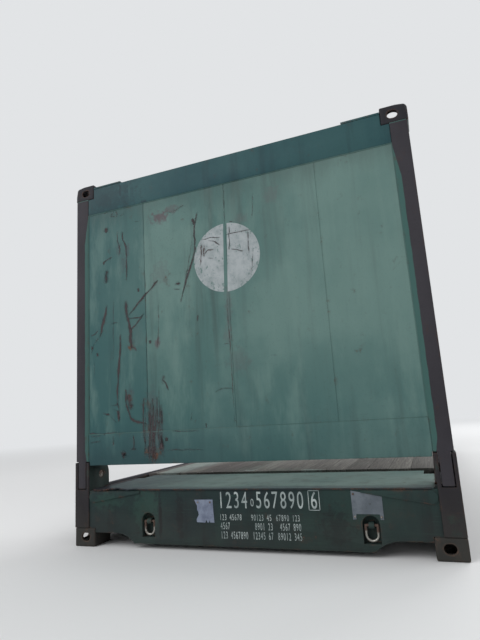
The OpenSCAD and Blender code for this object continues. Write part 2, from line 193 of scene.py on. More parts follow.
class Nodes:
    """A tree of shader nodes, which all come in through add."""

    def __init__(self, tree: bpy.types.NodeTree) -> None:
        """Takes over a tree and empties it."""
        self.tree = tree
        tree.nodes.clear()

    def add(self, kind: str, settings: dict[str, Any] | None = None,
            inputs: dict[int | str, Any] | None = None) -> bpy.types.Node:
        """Adds a node of any kind.

        Args:
            kind: The node's type, as Blender names it.
            settings: The node's own properties, such as a Math node's operation, which are set first.
            inputs: Numbers, colours, sockets or Values for the node's inputs.

        Returns:
            The new node.
        """
        node = self.tree.nodes.new(kind)
        for name, setting in (settings or {}).items():
            setattr(node, name, setting)
        for key, given in (inputs or {}).items():
            self.feed(node.inputs[key], given)
        return node

    def feed(self, socket: bpy.types.NodeSocket, given: Any) -> None:
        """Links a Value or a socket to an input, or sets the input to a number or a colour."""
        if isinstance(given, Value):
            self.tree.links.new(given.socket, socket)
        elif isinstance(given, bpy.types.NodeSocket):
            self.tree.links.new(given, socket)
        else:
            socket.default_value = given

    def shown(self, kind: str, share: Value | float, lit: bpy.types.NodeSocket,
              colour: Colour) -> bpy.types.NodeSocket:
        """Shows a plain colour to the eye, to gloss and through glass, and leaves all other light as it is.

        Args:
            kind: The type of the node that gives the plain colour.
            share: How much of the colour shows.
            lit: The shader that the other light meets.
            colour: The plain colour.

        Returns:
            The mixed shader's socket.
        """
        rays = self.add("ShaderNodeLightPath").outputs
        seen = Value(self, rays["Is Camera Ray"]).most(Value(self, rays["Is Glossy Ray"]))
        seen = seen.most(Value(self, rays["Is Transmission Ray"]))
        plain = self.add(kind, {}, {"Color": colour, "Strength": 1.0}).outputs[0]
        return self.add("ShaderNodeMixShader", {}, {0: seen * share, 1: lit, 2: plain}).outputs[0]


class Graph(Nodes):
    """A material's nodes, with the Principled shader that they feed."""

    def __init__(self, name: str) -> None:
        """Starts a material of that name.

        Args:
            name: The material's name.
        """
        self.material = bpy.data.materials.new(name)
        self.material.use_nodes = True
        super().__init__(self.material.node_tree)
        self.shader = self.add("ShaderNodeBsdfPrincipled")
        self.output = self.add("ShaderNodeOutputMaterial", {}, {"Surface": self.shader.outputs[0]})
        self.point = self.add("ShaderNodeTexCoord").outputs["Object"]
        self.x, self.y, self.z = self.split(self.point)

    def split(self, vector: bpy.types.NodeSocket) -> list[Value]:
        """The three parts of a vector."""
        return [Value(self, part) for part in self.add("ShaderNodeSeparateXYZ", {}, {0: vector}).outputs]

    def vector(self, operation: str, first: Any,
               second: Any = (0.0, 0.0, 0.0)) -> bpy.types.bpy_prop_collection:
        """Adds one Vector Math node and gives its outputs."""
        return self.add("ShaderNodeVectorMath", {"operation": operation}, {0: first, 1: second}).outputs

    def noise(self, size: float, detail: float = 3.0, rough: float = 0.55, shift: float = 0.0,
              stretch: Place = (1.0, 1.0, 1.0), warp: float = 0.0) -> Value:
        """A cloudy pattern in the object's own space.

        Args:
            size: The size of a patch in metres.
            detail: How many finer layers it has.
            rough: How strong the finer layers are.
            shift: Moves the pattern, so that two of one size differ.
            stretch: Squeezes the pattern along each axis. A value under 1 draws it out.
            warp: How far the pattern folds on itself.

        Returns:
            A value about 0.5.
        """
        place = {0: self.point, "Location": (shift, 1.7 * shift, 0.6 * shift), "Scale": stretch}
        inputs = {"Vector": self.add("ShaderNodeMapping", {}, place).outputs[0], "Scale": 1.0 / size,
                  "Detail": detail, "Roughness": rough, "Distortion": warp}
        return Value(self, self.add("ShaderNodeTexNoise", {}, inputs).outputs[0])

    def edge(self, reach: float) -> Value:
        """A mask of the surface near sharp edges and corners, inner ones too.

        Args:
            reach: How far from an edge the mask runs, in metres.

        Returns:
            A mask from 0 to 1 at the edge.
        """
        rounded = self.add("ShaderNodeBevel", {"samples": 4}, {"Radius": reach}).outputs[0]
        plain = self.add("ShaderNodeNewGeometry").outputs["Normal"]
        return (1.0 - Value(self, self.vector("DOT_PRODUCT", rounded, plain)["Value"])).band(0.0, 0.22)

    def span(self, middle: Place, scale: Place = (1.0, 1.0, 1.0)) -> Value:
        """How far the surface is from a point.

        Args:
            middle: The point in metres.
            scale: What the distance along each axis is multiplied by.

        Returns:
            The distance.
        """
        away = self.vector("SUBTRACT", self.point, middle)[0]
        return Value(self, self.vector("LENGTH", self.vector("MULTIPLY", away, scale)[0])["Value"])

    def patch(self, across: float, up: float, half_w: float, half_h: float, ragged: Value) -> Value:
        """A stain on an end wall, with a soft ragged edge.

        Args:
            across: The stain's place across the wall, in metres.
            up: Its height above the ground.
            half_w: Half its width.
            half_h: Half its height.
            ragged: The noise that frays its edge.

        Returns:
            A mask from 0 to 1 in the middle.
        """
        span = self.span((0.0, across, up), (0.0, 1.0 / half_w, 1.0 / half_h))
        return (span + (ragged - 0.5) * 2.4).band(1.15, 0.35)

    def mix(self, share: Value | float, first: Any, second: Any) -> bpy.types.NodeSocket:
        """Mixes two colours.

        Args:
            share: 0 gives the first colour and 1 the second.
            first: A colour or a colour socket.
            second: A colour or a colour socket.

        Returns:
            The mixed colour's socket.
        """
        settings = {"data_type": "RGBA", "clamp_factor": True}
        return self.add("ShaderNodeMix", settings, {0: share, 6: first, 7: second}).outputs[2]

    def lay(self, colour: Any, *layers: tuple[Value | float, Any]) -> Any:
        """Lays colours over one another.

        Args:
            colour: The lowest colour.
            layers: The share and the colour of each layer, from the lowest up.

        Returns:
            The colour that shows.
        """
        for share, over in layers:
            colour = self.mix(share, colour, over)
        return colour

    def attribute(self, name: str, output: str) -> bpy.types.NodeSocket:
        """One of the mesh's own attributes, as a number with output Fac or as a vector."""
        return self.add("ShaderNodeAttribute", {"attribute_name": name}).outputs[output]

    def bump(self, height: Value, depth: float, strength: float = 0.6) -> bpy.types.NodeSocket:
        """A bumped normal.

        Args:
            height: The relief, 1 being depth metres high.
            depth: The height of the relief in metres.
            strength: How much of the relief shows.

        Returns:
            The normal's socket.
        """
        inputs = {"Strength": strength, "Distance": depth, "Height": height}
        return self.add("ShaderNodeBump", {}, inputs).outputs[0]

    def finish(self, **inputs: Any) -> bpy.types.Material:
        """Feeds the Principled shader and gives the material.

        Args:
            inputs: The shader's inputs, with underscores for the spaces in their names.

        Returns:
            The finished material.
        """
        for name, given in inputs.items():
            self.feed(self.shader.inputs[name.replace("_", " ")], given)
        return self.material


@dataclass(frozen=True)
class Finish:
    """A surface's looks. Each kind of finish says how its material is built."""

    name: str

    def build(self) -> bpy.types.Material:
        """Builds the material."""
        raise NotImplementedError

    def material(self) -> bpy.types.Material:
        """The finish's material, built once."""
        return bpy.data.materials.get(self.name) or self.build()


@dataclass(frozen=True)
class Coat(Finish):
    """Old paint on steel: chalked by the sun, streaked by rain and chipped to rust along its edges."""

    fresh: Colour = paint(70, 103, 100)
    chalk: Colour = paint(106, 133, 127)
    grime: Colour = paint(54, 64, 64)
    chalking: float = 0.6
    streaks: float = 0.5
    chips: float = 0.5
    spots: float = 0.3
    splash: float = 0.0
    roughness: float = 0.6
    reach: float = 0.016
    shine: float = 0.22
    smear: Colour = paint(84, 70, 76)
    scratches: float = 0.0
    stains: Spots = ()
    marks: Spots = ()
    smears: Spots = ()

    def marked(self, graph: Graph, colour: Any) -> Any:
        """Lays dark and pale marks on the paint where they lie on the real end.

        Args:
            graph: The material's graph.
            colour: The paint's colour.

        Returns:
            The marked colour.
        """
        if not (self.marks or self.smears):
            return colour
        soft = graph.noise(0.03, 3.0, 0.6, shift=15.0)
        front = graph.x.band(0.0, -0.1)
        spots = [(*mark, self.grime if mark[-1] > 0 else self.chalk) for mark in self.marks]
        spots += [(*smear, self.smear) for smear in self.smears]
        for *place, force, shade in spots:
            colour = graph.mix(graph.patch(*place, soft) * front * abs(force), colour, shade)
        return colour

    def tone(self, graph: Graph) -> Any:
        """The paint's own colour before it rusts.

        Args:
            graph: The material's graph.

        Returns:
            The colour.
        """
        cloud = graph.noise(0.7, 4.0, 0.6)
        rain = graph.noise(0.11, 4.0, 0.6, shift=5.0, stretch=(1.0, 1.0, 0.07))
        speck = graph.noise(0.012, 3.0, 0.6, shift=2.0)
        colour = graph.lay(self.fresh, (cloud.band(0.36, 0.66) * self.chalking, self.chalk),
                           (rain.band(0.5, 0.74) * self.streaks, self.grime),
                           (rain.band(0.44, 0.3) * 0.5 * self.streaks, self.chalk),
                           (speck.band(0.55, 0.72) * 0.22, self.grime))
        if self.scratches:
            scratch = graph.noise(0.006, 2.0, 0.5, shift=31.0, stretch=(0.04, 0.04, 1.0))
            busy = graph.noise(0.22, 3.0, 0.6, shift=33.0)
            pale = scratch.band(0.6, 0.66) * busy.band(0.48, 0.6) * self.scratches
            dark = scratch.band(0.38, 0.32) * busy.band(0.52, 0.42) * self.scratches
            colour = graph.lay(colour, (pale, self.chalk), (dark, self.grime))
        return self.marked(graph, colour)

    def loss(self, graph: Graph) -> Value | float:
        """The share of the lost paint that lies in the finish's own stains."""
        if not self.stains:
            return 0.0
        ragged = graph.noise(0.05, 6.0, 0.7, shift=13.0)
        total: Value | float = 0.0
        for *place, force in self.stains:
            total = graph.patch(*place, ragged) * force + total
        return graph.x.band(0.0, -0.1) * total

    def build(self) -> bpy.types.Material:
        """Builds the material."""
        graph = Graph(self.name)
        flake = graph.noise(0.09, 8.0, 0.72, shift=7.0)
        fine = graph.noise(0.008, 4.0, 0.65, shift=3.0)
        worn = flake + graph.edge(self.reach) * (0.34 * self.chips) + (fine - 0.5) * 0.1 + self.loss(graph)
        ease = 0.09 * self.spots
        bare = worn.band(0.715 - ease, 0.745 - ease)
        halo = worn.band(0.6 - ease, 0.76 - ease)
        rust = graph.mix(fine.band(0.4, 0.62), DARK_RUST, ORANGE_RUST)
        colour = graph.lay(self.tone(graph), (halo * 0.45, DARK_RUST), (bare * 0.92, rust))
        if self.splash:
            low = graph.z + (graph.noise(0.25, 4.0, 0.6, shift=9.0) - 0.5) * 0.5
            colour = graph.mix(low.band(0.42, 0.02) * self.splash, colour, ROAD_DIRT)
        relief = fine * 0.25 + flake * 0.35 - bare * 0.4
        gloss = bare * (0.92 - self.roughness) + (fine - 0.5) * 0.2 + self.roughness
        graph.shader.inputs["Specular IOR Level"].default_value = self.shine
        return graph.finish(Base_Color=colour, Roughness=gloss, Normal=graph.bump(relief, 1.6 * MM))


@dataclass(frozen=True)
class WallCoat(Coat):
    """The end wall's paint, with a tone of its own for the outer sheet, darker low down, with painted shade
    along its +y edge and painted sunlight paling its -y side.
    """

    deep: Colour = paint(40, 80, 82)
    foot_dark: Colour = paint(32, 54, 60)
    seam: float = 0.629

    def tone(self, graph: Graph) -> Any:
        """The paint's colour, with each sheet's tone, darker low down, painted shade along the +y edge and
        painted sunlight paling the -y side.

        Args:
            graph: The material's graph.

        Returns:
            The colour.
        """
        drift = graph.noise(0.16, 5.0, 0.65, shift=11.0, stretch=(1.0, 1.0, 0.25))
        wander = drift - 0.5
        outer = graph.y.band(self.seam - 0.003, self.seam + 0.003)
        # Painted shade: the sheet is darkened towards its +y edge, beside the post.
        painted_edge_shade = (graph.y + wander * 0.2).band(0.7, 1.1)
        # Darker low down and over the foot of the sheet, more so towards +y.
        low = (graph.z + wander * 0.9).band(1.25, 0.5) * (graph.y.band(-0.9, 0.7) * 0.6 + 0.4)
        foot = (graph.z + wander * 0.3).band(0.86, 0.5) * (graph.y.band(-0.3, 1.0) * 0.7 + 0.3)
        # Painted sunlight: the -y side above the foot is paled towards the chalk colour, as if the sun lit
        # it.
        painted_sun_side = (graph.y + wander * 0.5).band(0.35, -1.0) * graph.z.band(0.5, 1.6)
        under_header = (graph.z + wander * 0.5).band(2.16, 2.42)
        return graph.lay(super().tone(graph), (outer * 0.55, self.deep), (painted_edge_shade * 0.65, self.deep),
                         (drift.band(0.48, 0.7) * 0.4, self.chalk), (low * 0.7, self.deep),
                         (foot * 0.6, self.foot_dark), (painted_sun_side * 0.5, self.chalk),
                         (under_header * 0.4, self.grime))


@dataclass(frozen=True)
class PostCoat(Coat):
    """A post's brown paint, which the sheet's green laps over along its inner edge."""

    lap: Colour = paint(60, 92, 88)
    lap_half: float = 1.137
    header_z: float = 2.12
    foot_z: float = 0.62

    def tone(self, graph: Graph) -> Any:
        """The brown, with the green lap, which narrows under the header and over the foot.

        Args:
            graph: The material's graph.

        Returns:
            The colour.
        """
        wave = graph.noise(0.12, 5.0, 0.7, shift=21.0)
        narrow = (graph.z - self.header_z).most(0.0) * 0.14 + (self.foot_z - graph.z).most(0.0) * 0.19
        inside = self.lap_half - abs(graph.y) - narrow + (wave - 0.5) * 0.012
        return graph.mix(inside.band(-0.0015, 0.0015), super().tone(graph), self.lap)


@dataclass(frozen=True)
class StubCoat(Coat):
    """A hinge stub's dark green, under the brown film that covers its face at the end plane."""

    film: Colour = paint(39, 37, 40)

    def tone(self, graph: Graph) -> Any:
        """The green, with the brown film over the end face.

        Args:
            graph: The material's graph.

        Returns:
            The colour.
        """
        ragged = graph.noise(0.09, 5.0, 0.65, shift=23.0)
        depth = HALF_LENGTH - abs(graph.x) + (ragged - 0.5) * 0.03
        return graph.mix(depth.band(0.016, 0.004) * ragged.band(0.3, 0.45), super().tone(graph), self.film)


@dataclass(frozen=True)
class DeckCoat(Coat):
    """The deck plates' pale worn green, darker along both sides, and scuffed by feet and cargo."""

    edge_y: float = 1.044
    corner_y: float = 0.930
    corner_slope: float = 0.72
    dark_band: Colour = paint(34, 35, 41)
    scuffed: Colour = paint(84, 74, 66)
    film: Colour = paint(54, 59, 68)

    def tone(self, graph: Graph) -> Any:
        """The green, with scuffs, the grey film, and darker bands along the outer edge and the sides.

        Args:
            graph: The material's graph.

        Returns:
            The colour.
        """
        ragged = graph.noise(0.07, 5.0, 0.65, shift=25.0)
        scuff = graph.noise(0.022, 5.0, 0.7, shift=27.0, stretch=(0.5, 0.22, 1.0))
        busy = graph.noise(0.45, 3.0, 0.6, shift=29.0)
        turned = graph.x.band(0.1, -0.1) * 2.0 - 1.0
        across = graph.y * turned + (ragged - 0.5) * 0.05
        inward = HALF_LENGTH - abs(graph.x)
        corner = across - inward * self.corner_slope
        filmed = (across + (busy - 0.5) * 0.3).band(0.25, 0.95) * (scuff.band(0.35, 0.6) * 0.3 + 0.7)
        rim = (inward + (ragged - 0.5) * 0.06).band(0.13, 0.06)
        # Darker along the +y side and in the corner beside the hinge stub.
        dark_side_and_corner = across.band(self.edge_y - 0.006, self.edge_y + 0.006)
        dark_side_and_corner = dark_side_and_corner.most(corner.band(self.corner_y - 0.01, self.corner_y + 0.01))
        return graph.lay(super().tone(graph),
                         (scuff.band(0.52, 0.66) * busy.band(0.4, 0.62) * 0.55, self.scuffed),
                         (scuff.band(0.44, 0.34) * busy.band(0.45, 0.6) * 0.5, self.chalk),
                         (filmed * 0.72, self.film), (rim * 0.5, self.film),
                         (inward.band(0.013, 0.007) * 0.75, self.dark_band), (dark_side_and_corner * 0.92, self.dark_band))


@dataclass(frozen=True)
class RailCoat(Coat):
    """The side rail's paint, worn pale along its top's outer edge and near black beside the deck."""

    inner_y: float = 1.178
    top_z: float = 0.358
    dark_band: Colour = paint(34, 34, 40)
    rubbed: Colour = paint(98, 97, 108)

    def tone(self, graph: Graph) -> Any:
        """The paint, with both bands on the rail's top.

        Args:
            graph: The material's graph.

        Returns:
            The colour.
        """
        ragged = graph.noise(0.06, 5.0, 0.65, shift=35.0, stretch=(0.3, 1.0, 1.0))
        across = abs(graph.y) + (ragged - 0.5) * 0.016
        top = graph.z.band(self.top_z - 0.002, self.top_z + 0.002)
        outer = across.band(self.inner_y - 0.004, self.inner_y + 0.004)
        # The rail's top is paler along its outer edge and darker beside the deck.
        return graph.lay(super().tone(graph), (top * outer * 0.5, self.rubbed),
                         (top * (1.0 - outer) * 0.85, self.dark_band))


@dataclass(frozen=True)
class Timber(Finish):
    """Floor planks, grey from weather and stained by cargo, with painted sun patches and painted shade near
    the front end.
    """

    dark: Colour = paint(70, 67, 65)
    pale: Colour = paint(133, 131, 124)
    green: Colour = paint(98, 110, 102)
    # A pale tone, also used to paint sunlight on the planks, and a dark tone, also used to paint shade on
    # them.
    washed_and_sunlit: Colour = paint(128, 140, 136)
    soaked_and_shaded: Colour = paint(66, 58, 58)
    edge_y: float = 1.022
    # Patches as along, across, half length, half width and force, pale where force is positive: the three
    # pale ones and the dark one nearest the front end are painted sun patches and painted shade, the rest
    # washed and soaked wood.
    patches: Spots = (
        (-1.85, 0.90, 0.62, 0.17, 0.85), (-2.21, 0.23, 0.07, 0.07, 0.7), (-2.26, -0.27, 0.06, 0.09, 0.7),
        (-1.95, 0.52, 0.55, 0.30, -0.6), (-1.20, -0.60, 0.35, 0.10, 0.5), (0.20, 0.10, 0.55, 0.30, -0.5),
        (0.90, 0.30, 0.45, 0.16, 0.5), (1.90, -0.75, 0.30, 0.12, 0.6))

    def build(self) -> bpy.types.Material:
        """Builds the material."""
        graph = Graph(self.name)
        board = Value(graph, graph.attribute("board", "Fac"))
        grain = graph.noise(0.006, 4.0, 0.65, stretch=(0.02, 1.0, 1.0), warp=0.12)
        wide = graph.noise(0.05, 3.0, 0.6, shift=4.0, stretch=(0.12, 1.0, 1.0))
        stain = graph.noise(0.5, 5.0, 0.65, shift=8.0)
        colour = graph.lay(self.dark, (grain.band(0.3, 0.75), self.pale),
                           (board.band(0.45, 1.0) * 0.6, self.pale),
                           (board.band(0.4, 0.0) * 0.55, self.dark), (wide.band(0.5, 0.75) * 0.6, self.dark),
                           (stain.band(0.5, 0.72) * 0.6, self.green),
                           (stain.band(0.42, 0.3) * 0.6, self.dark))
        for along, across, half_l, half_w, force in self.patches:
            span = graph.span((along, across, 0.0), (1.0 / half_l, 1.0 / half_w, 0.0))
            share = (span + (wide - 0.5) * 2.4 + (stain - 0.5) * 1.2).band(1.15, 0.55)
            colour = graph.mix(share * abs(force), colour, self.washed_and_sunlit if force > 0 else self.soaked_and_shaded)
        # A darker band along the +y edge of the planks.
        edge = graph.y + (wide - 0.5) * 0.06
        colour = graph.mix(edge.band(self.edge_y - 0.01, self.edge_y + 0.01) * 0.8, colour, self.soaked_and_shaded)
        return graph.finish(Base_Color=colour, Roughness=grain * 0.15 + 0.75,
                            Normal=graph.bump(grain * 0.7 + wide * 0.3, 1.2 * MM))


@dataclass(frozen=True)
class Steel(Finish):
    """Bare steel, polished by use where it is touched and filmed with rust elsewhere."""

    bright: Colour = paint(150, 148, 142)
    film: Colour = paint(96, 78, 68)
    rusty: float = 0.5
    polish_under: float = 0.0

    def build(self) -> bpy.types.Material:
        """Builds the material."""
        graph = Graph(self.name)
        patch = graph.noise(0.03, 6.0, 0.7)
        fine = graph.noise(0.004, 4.0, 0.6, shift=2.0)
        worn = patch + (fine - 0.5) * 0.3
        if self.polish_under:
            above = (graph.z + (patch - 0.5) * 0.06).band(self.polish_under, self.polish_under + 0.03)
            worn = worn + above * 0.3
        rust = worn.band(0.62 - 0.25 * self.rusty, 0.72 - 0.2 * self.rusty)
        colour = graph.mix(rust, self.bright, graph.mix(fine.band(0.4, 0.6), self.film, DARK_RUST))
        return graph.finish(Base_Color=colour, Roughness=rust * 0.45 + 0.38 + (fine - 0.5) * 0.2,
                            Metallic=(1.0 - rust) * 0.85,
                            Normal=graph.bump(fine * 0.4 + patch * 0.6, 0.8 * MM))


@dataclass(frozen=True)
class Marking(Finish):
    """A thin pale layer on paint, scuffed so that what is under it shows through."""

    pale: Colour = paint(196, 200, 196)
    dull: Colour = paint(148, 154, 150)
    under: Colour = paint(84, 112, 106)
    wear: float = 0.4
    grain: float = 0.02
    see_through: bool = False
    middle: tuple[float, float] = (0.0, 0.0)
    radius: float = 0.0

    def build(self) -> bpy.types.Material:
        """Builds the material."""
        graph = Graph(self.name)
        cloud = graph.noise(self.grain * 6, 5.0, 0.65, shift=6.0)
        scuff = graph.noise(self.grain, 7.0, 0.75, shift=1.0, stretch=(1.0, 1.0, 0.6))
        worn = scuff + (cloud - 0.5) * 0.5
        if self.radius:
            inside = graph.patch(*self.middle, self.radius * 1.6, self.radius * 1.6, scuff)
            worn = worn + inside.band(0.6, 0.1) * 0.12
        lost = worn.band(0.74 - 0.3 * self.wear, 0.79 - 0.3 * self.wear)
        colour = graph.mix(cloud.band(0.35, 0.65), self.pale, self.dull)
        normal = graph.bump(1.0 - lost, 0.4 * MM)
        if self.see_through:
            return graph.finish(Base_Color=colour, Roughness=0.7, Alpha=1.0 - lost, Normal=normal)
        return graph.finish(Base_Color=graph.mix(lost, colour, self.under), Roughness=0.7, Normal=normal)


@dataclass(frozen=True)
class Scarring(Finish):
    """Rust along a gouge: a ragged core and a thin stain on both sides of it."""

    core: Colour = paint(47, 45, 49)
    flush: Colour = paint(86, 70, 70)

    def build(self) -> bpy.types.Material:
        """Builds the material."""
        graph = Graph(self.name)
        across, tone, force = graph.split(graph.attribute("stroke", "Vector"))
        fray = graph.noise(0.012, 5.0, 0.7, stretch=(1.0, 1.0, 0.55))
        break_up = graph.noise(0.06, 4.0, 0.6, shift=3.0)
        middle = 1.0 - abs(across)
        level = middle + (fray - 0.5) * 1.3 + (break_up - 0.5) * 1.1 + (force - 1.0) * 0.7
        core = level.band(0.54, 0.74)
        stain = (middle * force + (break_up - 0.5) * 0.5).band(0.1, 0.9) * 0.36
        colour = graph.lay(self.core, (tone, self.flush), (fray.band(0.48, 0.68) * 0.35, self.flush))
        return graph.finish(Base_Color=colour, Roughness=0.85, Alpha=(core * 0.9).most(stain))


@dataclass(frozen=True)
class StudioFloor(Finish):
    """The plain pale floor, which fades into the background far away and keeps the shadow."""

    pale: Colour = paint(232, 233, 234)
    background: Colour = paint(226, 228, 230)
    fade_from: float = 3.0
    fade_to: float = 20.0

    def build(self) -> bpy.types.Material:
        """Builds the material."""
        graph = Graph(self.name)
        graph.finish(Base_Color=self.pale, Roughness=0.85)
        far = graph.span((0.0, 0.0, 0.0)).band(self.fade_from, self.fade_to)
        lit = graph.shader.outputs[0]
        shown = graph.shown("ShaderNodeEmission", far, lit, self.background)
        graph.feed(graph.output.inputs["Surface"], shown)
        return graph.material


WALL_SMEARS = (
    (0.500, 2.210, 0.085, 0.050, 0.80),
    (0.405, 2.245, 0.070, 0.035, 0.45),
    (0.840, 2.030, 0.026, 0.050, 0.58),
    (0.770, 2.015, 0.028, 0.050, 0.62),
    (0.500, 1.790, 0.075, 0.100, 0.22),
    (-0.110, 2.070, 0.060, 0.035, 0.30),
    (0.012, 1.480, 0.028, 0.170, 0.35),
    (0.028, 1.300, 0.040, 0.050, 0.25),
    (0.800, 1.925, 0.045, 0.080, 0.45),
    (0.765, 0.960, 0.034, 0.080, 0.55),
    (0.585, 0.640, 0.080, 0.120, 0.42),
    (0.585, 0.740, 0.070, 0.200, 0.32),
    (0.605, 0.900, 0.060, 0.120, 0.25),
    (0.545, 1.310, 0.024, 0.040, 0.65),
    (0.700, 1.380, 0.050, 0.110, 0.22),
    (-0.330, 2.190, 0.060, 0.070, 0.35),
    (-0.040, 1.130, 0.090, 0.080, 0.25),
)
WALL_STAINS = (
    (0.500, 2.215, 0.060, 0.040, 0.05),
    (0.350, 2.240, 0.120, 0.045, 0.08),
    (0.450, 1.770, 0.060, 0.060, 0.10),
    (0.870, 2.300, 0.085, 0.040, 0.08),
    (0.815, 1.970, 0.050, 0.075, 0.08),
    (0.765, 0.960, 0.030, 0.065, 0.17),
    (0.600, 0.900, 0.090, 0.100, 0.09),
    (0.600, 0.700, 0.085, 0.220, 0.12),
    (0.575, 0.600, 0.055, 0.080, 0.12),
    (0.760, 1.300, 0.045, 0.030, 0.12),
    (0.750, 1.440, 0.060, 0.130, 0.06),
    (-0.020, 1.180, 0.070, 0.150, 0.04),
)
WALL_MARKS = (
    (1.090, 1.175, 0.007, 0.060, -0.7),
    (1.062, 1.170, 0.005, 0.050, -0.8),
    (0.950, 1.845, 0.024, 0.050, 0.7),
    (0.822, 0.588, 0.028, 0.018, 0.6),
    (0.885, 1.487, 0.050, 0.008, 0.4),
    (0.508, 1.060, 0.022, 0.030, 0.6),
    (1.112, 0.567, 0.018, 0.018, 0.7),
)
HEADER_MARKS = (
    (0.821, 2.495, 0.011, 0.085, 1.0),
    (0.742, 2.460, 0.007, 0.090, -0.9),
    (0.960, 2.440, 0.070, 0.060, 0.5),
    (1.000, 2.450, 0.330, 0.200, 0.6),
    (0.627, 2.352, 0.030, 0.020, 0.8),
)
SILL_MARKS = (
    (0.665, 0.250, 0.110, 0.130, -1.0),
    (0.960, 0.290, 0.130, 0.060, -0.8),
    (0.560, 0.200, 0.014, 0.170, 0.9),
    (0.420, 0.200, 0.030, 0.150, 0.6),
    (-0.560, 0.150, 0.100, 0.120, 0.5),
)

WALL_GREEN = WallCoat("wall_green", stains=WALL_STAINS, smears=WALL_SMEARS, marks=WALL_MARKS, spots=0.12,
                      chips=0.35)
REAR_GREEN = WallCoat("wall_green_rear", spots=0.28, chips=0.45)
STIFFENER_GREEN = Coat("stiffener_green", fresh=paint(70, 102, 95), spots=0.35, chips=0.7)
HEADER_GREEN = Coat("header_green", fresh=paint(32, 68, 74), chalk=paint(56, 90, 91),
                    grime=paint(33, 54, 60), chips=0.5, spots=0.25, marks=HEADER_MARKS)
TOP_CASTING = Coat("casting_upper", fresh=paint(36, 36, 41), chalk=paint(48, 48, 52), grime=paint(31, 31, 36),
                   chips=0.8, spots=0.6, roughness=0.75, reach=0.02)
POST_BROWN = PostCoat("post_brown", fresh=paint(48, 46, 51), chalk=paint(61, 59, 64), grime=paint(38, 42, 47),
                      chips=0.5, spots=0.5, roughness=0.75, scratches=0.35)
BASE_GREEN = Coat("base_green", fresh=paint(34, 48, 47), chalk=paint(46, 66, 60), grime=paint(32, 32, 32),
                  chips=0.6, spots=0.45, splash=0.35, roughness=0.7)
# These paints are partly the parts' own dark colours and partly painted shade: they are set darker for the
# shadow that lies over the base's low end.
RAIL_BROWN = RailCoat("rail_brown", fresh=paint(38, 40, 41), chalk=paint(58, 64, 61), grime=paint(55, 45, 41),
                  chips=0.95, spots=0.85, splash=0.6, streaks=0.8, roughness=0.75, shine=0.06, scratches=0.6)
SILL_GREEN = Coat("sill_green", fresh=paint(28, 40, 43), chalk=paint(38, 63, 58), grime=paint(22, 24, 28),
                  chips=0.4, spots=0.5, splash=0.22, roughness=0.7, marks=SILL_MARKS, scratches=0.5)
STUB_GREEN = StubCoat("stub_green", fresh=paint(32, 44, 43), chalk=paint(44, 58, 54), grime=paint(32, 31, 31),
                      chips=0.6, spots=0.45, splash=0.3, roughness=0.75)
BASE_CASTING = Coat("casting_lower", fresh=paint(28, 31, 34), chalk=paint(43, 46, 46),
                    grime=paint(32, 29, 30), chips=0.95, spots=0.8, splash=0.45, roughness=0.8, reach=0.02)
DECK_GREEN = DeckCoat("deck_green", fresh=paint(92, 116, 112), chalk=paint(120, 139, 133),
                      grime=paint(72, 85, 83), chips=0.5, spots=0.38, roughness=0.7, reach=0.02, shine=0.08)
WELD_GREEN = Coat("weld_green", fresh=paint(62, 92, 89), chalk=paint(88, 114, 108), grime=paint(52, 62, 60),
                  chips=0.05, spots=0.3, roughness=0.7)
PLANKS = Timber("floor_timber")
RING_STEEL = Steel("ring_steel", rusty=0.3, polish_under=0.112)
PIN_STEEL = Steel("pin_steel", rusty=0.8)
SCREW_STEEL = Steel("screw_steel", rusty=0.9)
SCARS = Scarring("scar_rust")
DISC_WHITE = Marking("disc_white", pale=paint(158, 165, 168), dull=paint(134, 144, 146),
                     under=paint(84, 112, 108), wear=0.5, grain=0.016,
                     middle=(0.006, 1.825), radius=0.235)
STENCIL_WHITE = Marking("stencil_white", pale=paint(168, 178, 177), dull=paint(128, 140, 140), wear=0.36,
                        grain=0.012, see_through=True)
PLATE_PALE = Marking("plate_pale", pale=paint(122, 132, 151), dull=paint(94, 103, 124),
                     under=paint(98, 102, 110), wear=0.3, grain=0.01)
PLATE_GREY = Marking("plate_grey", pale=paint(99, 107, 115), dull=paint(81, 89, 97),
                     under=paint(60, 68, 70), wear=0.34, grain=0.014)


def merged(node: str) -> bmesh.types.BMesh:
    """A copy of a CAD node's mesh, with its doubles merged and its flat faces whole.

    Args:
        node: The CAD node's name.

    Returns:
        The copy, in the row frame.
    """
    bm = bmesh.new()
    bm.from_mesh(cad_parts[node].data)
    bmesh.ops.remove_doubles(bm, verts=bm.verts, dist=WELD_DISTANCE)
    bmesh.ops.dissolve_limit(bm, angle_limit=FLAT_ANGLE, verts=bm.verts, edges=bm.edges)
    return bm


def cut(bm: bmesh.types.BMesh, point: Iterable[float], normal: Iterable[float],
        parts: list[Any] | None = None, clear: bool = False) -> None:
    """Cuts a mesh at a plane.

    Args:
        bm: The mesh.
        point: A point of the plane.
        normal: The plane's direction.
        parts: The vertices, edges and faces to cut, which are all of them if none are given.
        clear: Whether what lies beyond the plane goes.
    """
    if parts is None:
        parts = bm.verts[:] + bm.edges[:] + bm.faces[:]
    bmesh.ops.bisect_plane(bm, geom=parts, dist=CUT_DISTANCE, plane_co=point, plane_no=normal,
                           clear_outer=clear)


def standing(wide: float, tall: float, across: float, up: float, deep: float = 0.0) -> Matrix:
    """Stands a flat drawing up in an end plane.

    Args:
        wide: What its width is multiplied by.
        tall: What its height is multiplied by.
        across: Its place across the end in metres.
        up: Its height above the ground.
        deep: Its depth behind the end plane.

    Returns:
        The matrix that does it.
    """
    return Matrix(((0.0, 0.0, -1.0, deep), (wide, 0.0, 0.0, across), (0.0, tall, 0.0, up),
                   (0.0, 0.0, 0.0, 1.0)))


